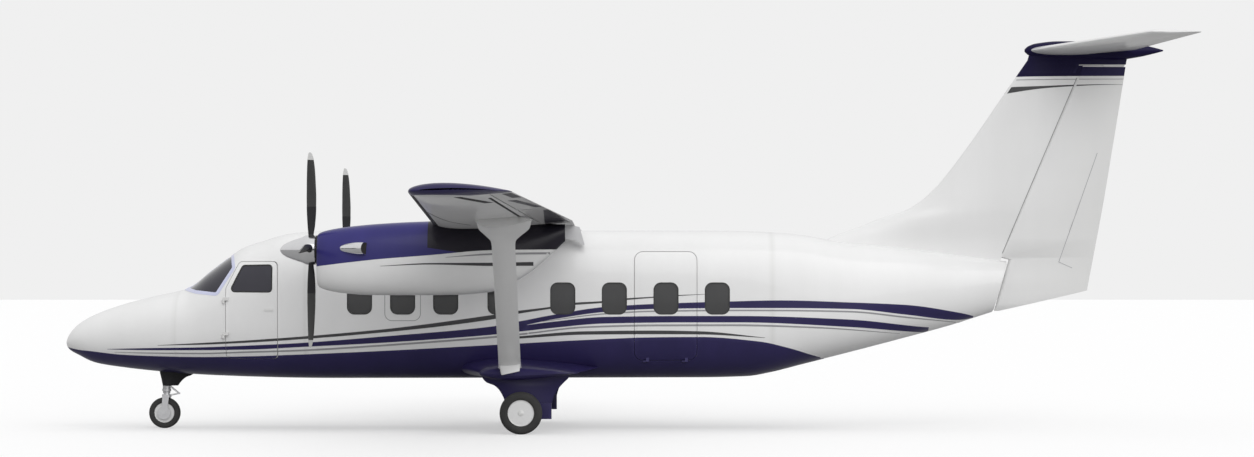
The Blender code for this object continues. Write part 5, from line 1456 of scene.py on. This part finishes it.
def fin_rear_edge(z):
    """Where the fin's side ends before the rudder's round front."""
    hinge, radius = fin_hinge(z)
    return hinge - math.sqrt((radius + CLEAR) ** 2 - radius ** 2) - 0.002


def rudder_front_edge(z):
    return fin_hinge(z)[0] + 0.004


def rudder_rear_edge(z):
    return fin_row(z)[1] - 0.001


# Bands of the fin: look, lower z at x, upper z at x, on the fin, on the rudder
NAVY_TOP = ((5.0, 5.335), (9.0, 5.378))         # its lower line on fin and rudder, as x, z
FIN_BANDS = (
    ("pale_paint", curve(((6.0, 5.292), (7.8, 5.312))), curve(((6.0, 5.304), (7.8, 5.322))), 3),
    ("grey_paint", curve(((6.0, 5.085), (6.5, 5.165), (7.0, 5.205), (7.5, 5.228), (7.8, 5.232))),
     curve(((6.0, 5.190), (6.5, 5.205), (7.0, 5.225), (7.5, 5.236), (7.8, 5.234))), 3),
)


def fin_and_rudder():
    rings = []
    for z in steps(2.45, 5.64, 0.05):
        front, rear, thickness = fin_row(z)
        share = (fin_hinge(z)[0] + 0.30 - front) / (rear - front)
        rings.append([Vector((x, across, z)) for x, across in aerofoil_cut(front, rear, thickness, min(share, 0.9))])
    blade_form = loft(rings)
    room = []
    for z in steps(2.40, 5.519, 0.15):
        hinge, radius = fin_hinge(z)
        room.append([Vector((a, b, z)) for a, b in cove(hinge, 0.0, radius, hinge + 0.5)])
    shaped(blade_form, loft(room))
    cap = []
    for z in (FIN_CAP_BOTTOM, 5.60, 5.70):
        front, rear, thickness = fin_row(min(z, 5.64))
        cap.append([Vector((x, across, z)) for x, across in aerofoil(front + 0.002, rear, thickness)])
    shaped(blade_form, prism(((5.0, -1.0), (9.0, -1.0), (9.0, 1.0), (5.0, 1.0)), "z", 5.5192, 6.2))
    navy_room = prism((*NAVY_TOP, (9.0, 5.70), (5.0, 5.70)), "y", -0.30, 0.30)
    fin, fin_top = parted(blade_form, navy_room)
    neck = []
    for z in (5.40, 5.60, 5.70):
        hinge, radius = fin_hinge(min(z, 5.64))
        front, rear, thickness = fin_row(min(z, 5.64))
        share = (hinge - radius - 0.02 - front) / (rear - front)
        neck.append([Vector((x, across, z)) for x, across in aerofoil_cut(front, rear, thickness, share)])
    piece("fin", "airframe", "white", fin, stands_for=["fin"])
    # The fin's navy top takes the darker navy: painted shade of the stabiliser
    piece("fin_cap", "airframe", "shaded_navy", fin_top, loft(cap), loft(neck))
    # A dark strip on both sides of the fin just ahead of the rudder's gap: painted shade of the gap
    seam_forms = []
    for _, sign in SIDES:
        seam_forms.append(plate(lambda z, share, out, s=sign: fin_skin(
            z, fin_rear_edge(z) - 0.014 * (1 - share), s, out), steps(2.66, 5.33, 0.10), (0.0, 1.0), 0.002, 0.0014))
    piece("rudder_gap_painted_shade", "airframe", "seam", *seam_forms)
    low_z, low_x = FIN_TRAILING[0]
    cone_bottom, cone_top = FUSELAGE[-1][2], FUSELAGE[-1][1]

    def cone_end(z):
        return TAIL_END + TAIL_LEAN * (z - cone_bottom) / (cone_top - cone_bottom)
    # The cone's end bulges into the round room that the rudder's front edge turns in
    bulge = []
    for z in steps(1.80, 2.50, 0.05):
        axis = FIN_HINGE_FOOT.x + FIN_HINGE_SLOPE * (z - FIN_HINGE_FOOT.z)
        reach_back = cone_end(z) + TAIL_GAP - axis
        half = math.sqrt((reach_back - 0.010) ** 2 - (reach_back - TAIL_GAP) ** 2)
        outline = [(cone_end(z) - 0.012, half)]
        for number in range(13):
            y = half * math.cos(math.pi * number / 12)
            outline.append((axis + math.sqrt((reach_back - 0.010) ** 2 - y ** 2), y))
        outline.append((cone_end(z) - 0.012, -half))
        bulge.append([Vector((x, y, z)) for x, y in outline])
    piece("tail_cone_end", "airframe", "white", loft(bulge))
    rings = []
    for z in (RUDDER_BOTTOM, 1.84, 1.90, 2.00, low_z, 2.3, RUDDER_SHELF[0]):
        front = cone_end(z) + TAIL_GAP
        share = (z - cone_bottom) / (low_z - cone_bottom)
        rear = front + (low_x - front) * share if z < low_z else between(FIN_TRAILING, z, 1)
        radius = min(0.055, (rear - front) / 3)
        rings.append([Vector((a, b, z)) for a, b in round_nosed(front + radius, 0.0, radius, rear, 0.0)])
    for z in [RUDDER_SHELF[1]] + steps(2.9, RUDDER_TOP, 0.3):
        hinge, radius = fin_hinge(z)
        rings.append([Vector((a, b, z)) for a, b in round_nosed(hinge, 0.0, radius, fin_row(z)[1], 0.0)])
    rudder, rudder_top = parted(loft(rings), navy_room)
    piece("rudder", "rudder", "white", rudder, stands_for=["rudder"])
    # The rudder's navy top takes the same painted shade
    piece("rudder_top", "rudder", "shaded_navy", rudder_top)
    for look, lower, upper, rows in FIN_BANDS:
        piece(f"fin_{look}", "airframe", look,
              *[fin_band(sign, fin_front_edge, fin_rear_edge, lower, upper, rows) for _, sign in SIDES])
        piece(f"rudder_{look}", "rudder", look,
              *[fin_band(sign, rudder_front_edge, rudder_rear_edge, lower, upper, rows) for _, sign in SIDES])
    tab = []
    for _, sign in SIDES:
        for start, end in (((6.757, 2.529), (7.344, 4.190)), ((6.757, 2.529), (6.963, 2.438))):
            run = Vector((end[0] - start[0], end[1] - start[1]))
            side_step = Vector((-run.y, run.x)).normalized() * 0.005
            tab.append(plate(lambda along, share, out, a=start, b=run, c=side_step, s=sign: fin_skin(
                a[1] + b.y * along + c.y * (2 * share - 1), a[0] + b.x * along + c.x * (2 * share - 1), s, out),
                [number / 10 for number in range(11)], (0.0, 1.0), 0.002, 0.0012))
    piece("rudder_tab_seam", "rudder", "faint_seam", *tab)


def tailplane():
    sections_of_bullet = curves(BULLET)
    turns = [2 * math.pi * number / 48 for number in range(48)]
    rings = []
    for x in steps(6.240, 6.42, 0.02)[:-1] + steps(6.42, 8.35, 0.06):
        tall, wide = (line(x) for line in sections_of_bullet)
        rings.append([Vector((x, wide * math.cos(turn), BULLET_Z + tall * math.sin(turn))) for turn in turns])
    # The bullet takes the same darker navy with painted shade
    piece("tail_bullet", "airframe", "shaded_navy", loft(rings), stands_for=["tail_bullet"])
    tip = curves(STABILISER[1:])

    def row(y):
        y = abs(y)
        if y > STABILISER[1][0]:
            return tuple(line(y) for line in tip)
        return tuple(between(STABILISER, y, column) for column in (1, 2, 3))

    def hinge_at(y):
        front, rear, thickness = row(y)
        return front + STABILISER_HINGE * (rear - front), half_thickness(STABILISER_HINGE) * thickness
    half = [0.0, 0.6, 1.4, 2.4, 3.30] + steps(3.315, 3.41, 0.012)
    stations = [-y for y in reversed(half[1:])] + half
    plane = loft([[Vector((x, y, BULLET_Z + height)) for x, height in aerofoil(*row(y))] for y in stations])
    inner, outer = ELEVATOR
    root_hinge, root_radius = hinge_at(0.0)
    shaped(plane, prism(((root_hinge - root_radius - CLEAR, -inner), (8.4, -inner), (8.4, inner),
                         (root_hinge - root_radius - CLEAR, inner)), "z", 5.0, 6.5))
    for side, sign in SIDES:
        ends = [hinge_at(y) for y in (inner, outer)]
        room = [[Vector((a, sign * y, BULLET_Z + b)) for a, b in cove(hinge, 0.0, radius, row(y)[1])]
                for y, (hinge, radius) in ((inner - 2 * CLEAR, ends[0]), (outer + CLEAR, hinge_at(outer + CLEAR)))]
        shaped(plane, loft(room))
        surface = loft([[Vector((a, sign * y, BULLET_Z + b)) for a, b in round_nosed(hinge, 0.0, radius, row(y)[1], 0.0)]
                        for y, (hinge, radius) in zip((inner, outer), ends)])
        rod = bar((ends[0][0], sign * (inner - 0.035), BULLET_Z), (ends[1][0], sign * (outer + 0.003), BULLET_Z),
                  PIN_RADIUS, points=12)
        piece("elevator_" + side, "elevator_" + side, "white", surface, rod, stands_for=["elevator_" + side])
    piece("stabiliser", "airframe", "white", plane, stands_for=["stabiliser"])


def interior():
    """Finishes for the frame's own pieces that show through the glass or an open door."""
    for name, look in (("cabin_floor", "floor"), ("crew_seat_left", "seat"), ("crew_seat_right", "seat"),
                       ("instrument_panel", "trim")):
        node_object = frame["nodes"][name]
        node_object.data.materials.clear()
        node_object.data.materials.append(FINISHES[look][0])


wings()
stubs_and_struts()
for side, sign in SIDES:
    nacelle(side, sign)
    engine(side, sign)
    propeller(side, sign)
    main_gear(side, sign)
nose_gear()
fin_and_rudder()
tailplane()
interior()


# Studio and camera

CAMERA_PLACE = (0.061, -46.5, 2.057)
FOCAL_PIXELS = 3052.0
PICTURE_WIDTH = 1254.0
PRINCIPAL_OFFSET = (8.0, 64.5)      # pixels from the picture's middle to the camera's axis: left, down


# Radiance of the backdrop, of the sky that lights the object at its horizon and overhead, and of the floor's bounce
BACKDROP = 0.871
SKY = (0.74, 0.86)
BOUNCE = 0.37
SHADOW_SHARE = 0.60                 # how much of the floor's tone its shadows can take
KEY_STRENGTH = 1.33
FLOOR_LIGHT = 0.80                  # light on the open floor, so that it glows no brighter than the backdrop


def seen_by_camera(tree, lit, seen):
    """Mixes what lights the object with what the picture shows behind and under it."""
    ray = tree.nodes.new("ShaderNodeLightPath")
    blend = tree.nodes.new("ShaderNodeMixShader")
    tree.links.new(ray.outputs["Is Camera Ray"], blend.inputs["Fac"])
    tree.links.new(lit.outputs[0], blend.inputs[1])
    tree.links.new(seen.outputs[0], blend.inputs[2])
    return blend


def studio_sky():
    world = bpy.data.worlds.new("studio_world")
    bpy.context.scene.world = world
    world.use_nodes = True
    tree = world.node_tree
    backdrop = tree.nodes["Background"]
    backdrop.inputs["Color"].default_value = (1.0, 1.0, 1.0, 1.0)
    backdrop.inputs["Strength"].default_value = BACKDROP
    sky = node(tree, "ShaderNodeBackground", Color=(1.0, 1.0, 1.004, 1.0))
    direction = tree.nodes.new("ShaderNodeTexCoord")
    split = tree.nodes.new("ShaderNodeSeparateXYZ")
    rise = tree.nodes.new("ShaderNodeMapRange")
    rise.inputs["To Min"].default_value, rise.inputs["To Max"].default_value = SKY
    tree.links.new(direction.outputs["Generated"], split.inputs[0])
    tree.links.new(split.outputs["Z"], rise.inputs["Value"])
    tree.links.new(rise.outputs["Result"], sky.inputs["Strength"])
    tree.links.new(seen_by_camera(tree, sky, backdrop).outputs[0], tree.nodes["World Output"].inputs["Surface"])


def studio_floor():
    form = bmesh.new()
    bmesh.ops.create_circle(form, cap_ends=True, segments=96, radius=900.0)
    mesh = bpy.data.meshes.new("studio_floor")
    form.to_mesh(mesh)
    form.free()
    floor = bpy.data.objects.new("studio_floor", mesh)
    bpy.context.scene.collection.objects.link(floor)
    made = bpy.data.materials.new("studio_floor")
    made.use_nodes = True
    tree = made.node_tree
    tree.nodes.remove(tree.nodes["Principled BSDF"])
    bounce = node(tree, "ShaderNodeBsdfDiffuse", Color=(BOUNCE, BOUNCE, BOUNCE, 1.0))
    shade = BACKDROP * SHADOW_SHARE
    shadow = node(tree, "ShaderNodeBsdfDiffuse", Color=(shade, shade, shade, 1.0))
    glow = node(tree, "ShaderNodeEmission", Strength=BACKDROP * (1 - SHADOW_SHARE * FLOOR_LIGHT))
    both = tree.nodes.new("ShaderNodeAddShader")
    tree.links.new(shadow.outputs[0], both.inputs[0])
    tree.links.new(glow.outputs[0], both.inputs[1])
    tree.links.new(seen_by_camera(tree, bounce, both).outputs[0], tree.nodes["Material Output"].inputs["Surface"])
    mesh.materials.append(made)


def studio():
    bpy.context.scene.view_settings.view_transform = "Standard"
    studio_sky()
    studio_floor()
    key = bpy.data.lights.new("key_softbox", "SUN")
    key.energy = KEY_STRENGTH
    key.angle = math.radians(60)
    lamp = bpy.data.objects.new("key_softbox", key)
    lamp.rotation_euler = (math.radians(60), 0, math.radians(26))
    bpy.context.scene.collection.objects.link(lamp)


def camera():
    data = bpy.data.cameras.new("camera")
    data.sensor_width = 36.0
    data.lens = FOCAL_PIXELS / PICTURE_WIDTH * data.sensor_width
    data.shift_x = PRINCIPAL_OFFSET[0] / PICTURE_WIDTH
    data.shift_y = PRINCIPAL_OFFSET[1] / PICTURE_WIDTH
    data.clip_end = 3000.0
    made = bpy.data.objects.new("camera", data)
    made.location = CAMERA_PLACE
    made.rotation_euler = (math.radians(90), 0, 0)
    bpy.context.scene.collection.objects.link(made)
    bpy.context.scene.camera = made


studio()
camera()
for unused in list(WORKSHOP.objects):
    bpy.data.objects.remove(unused)
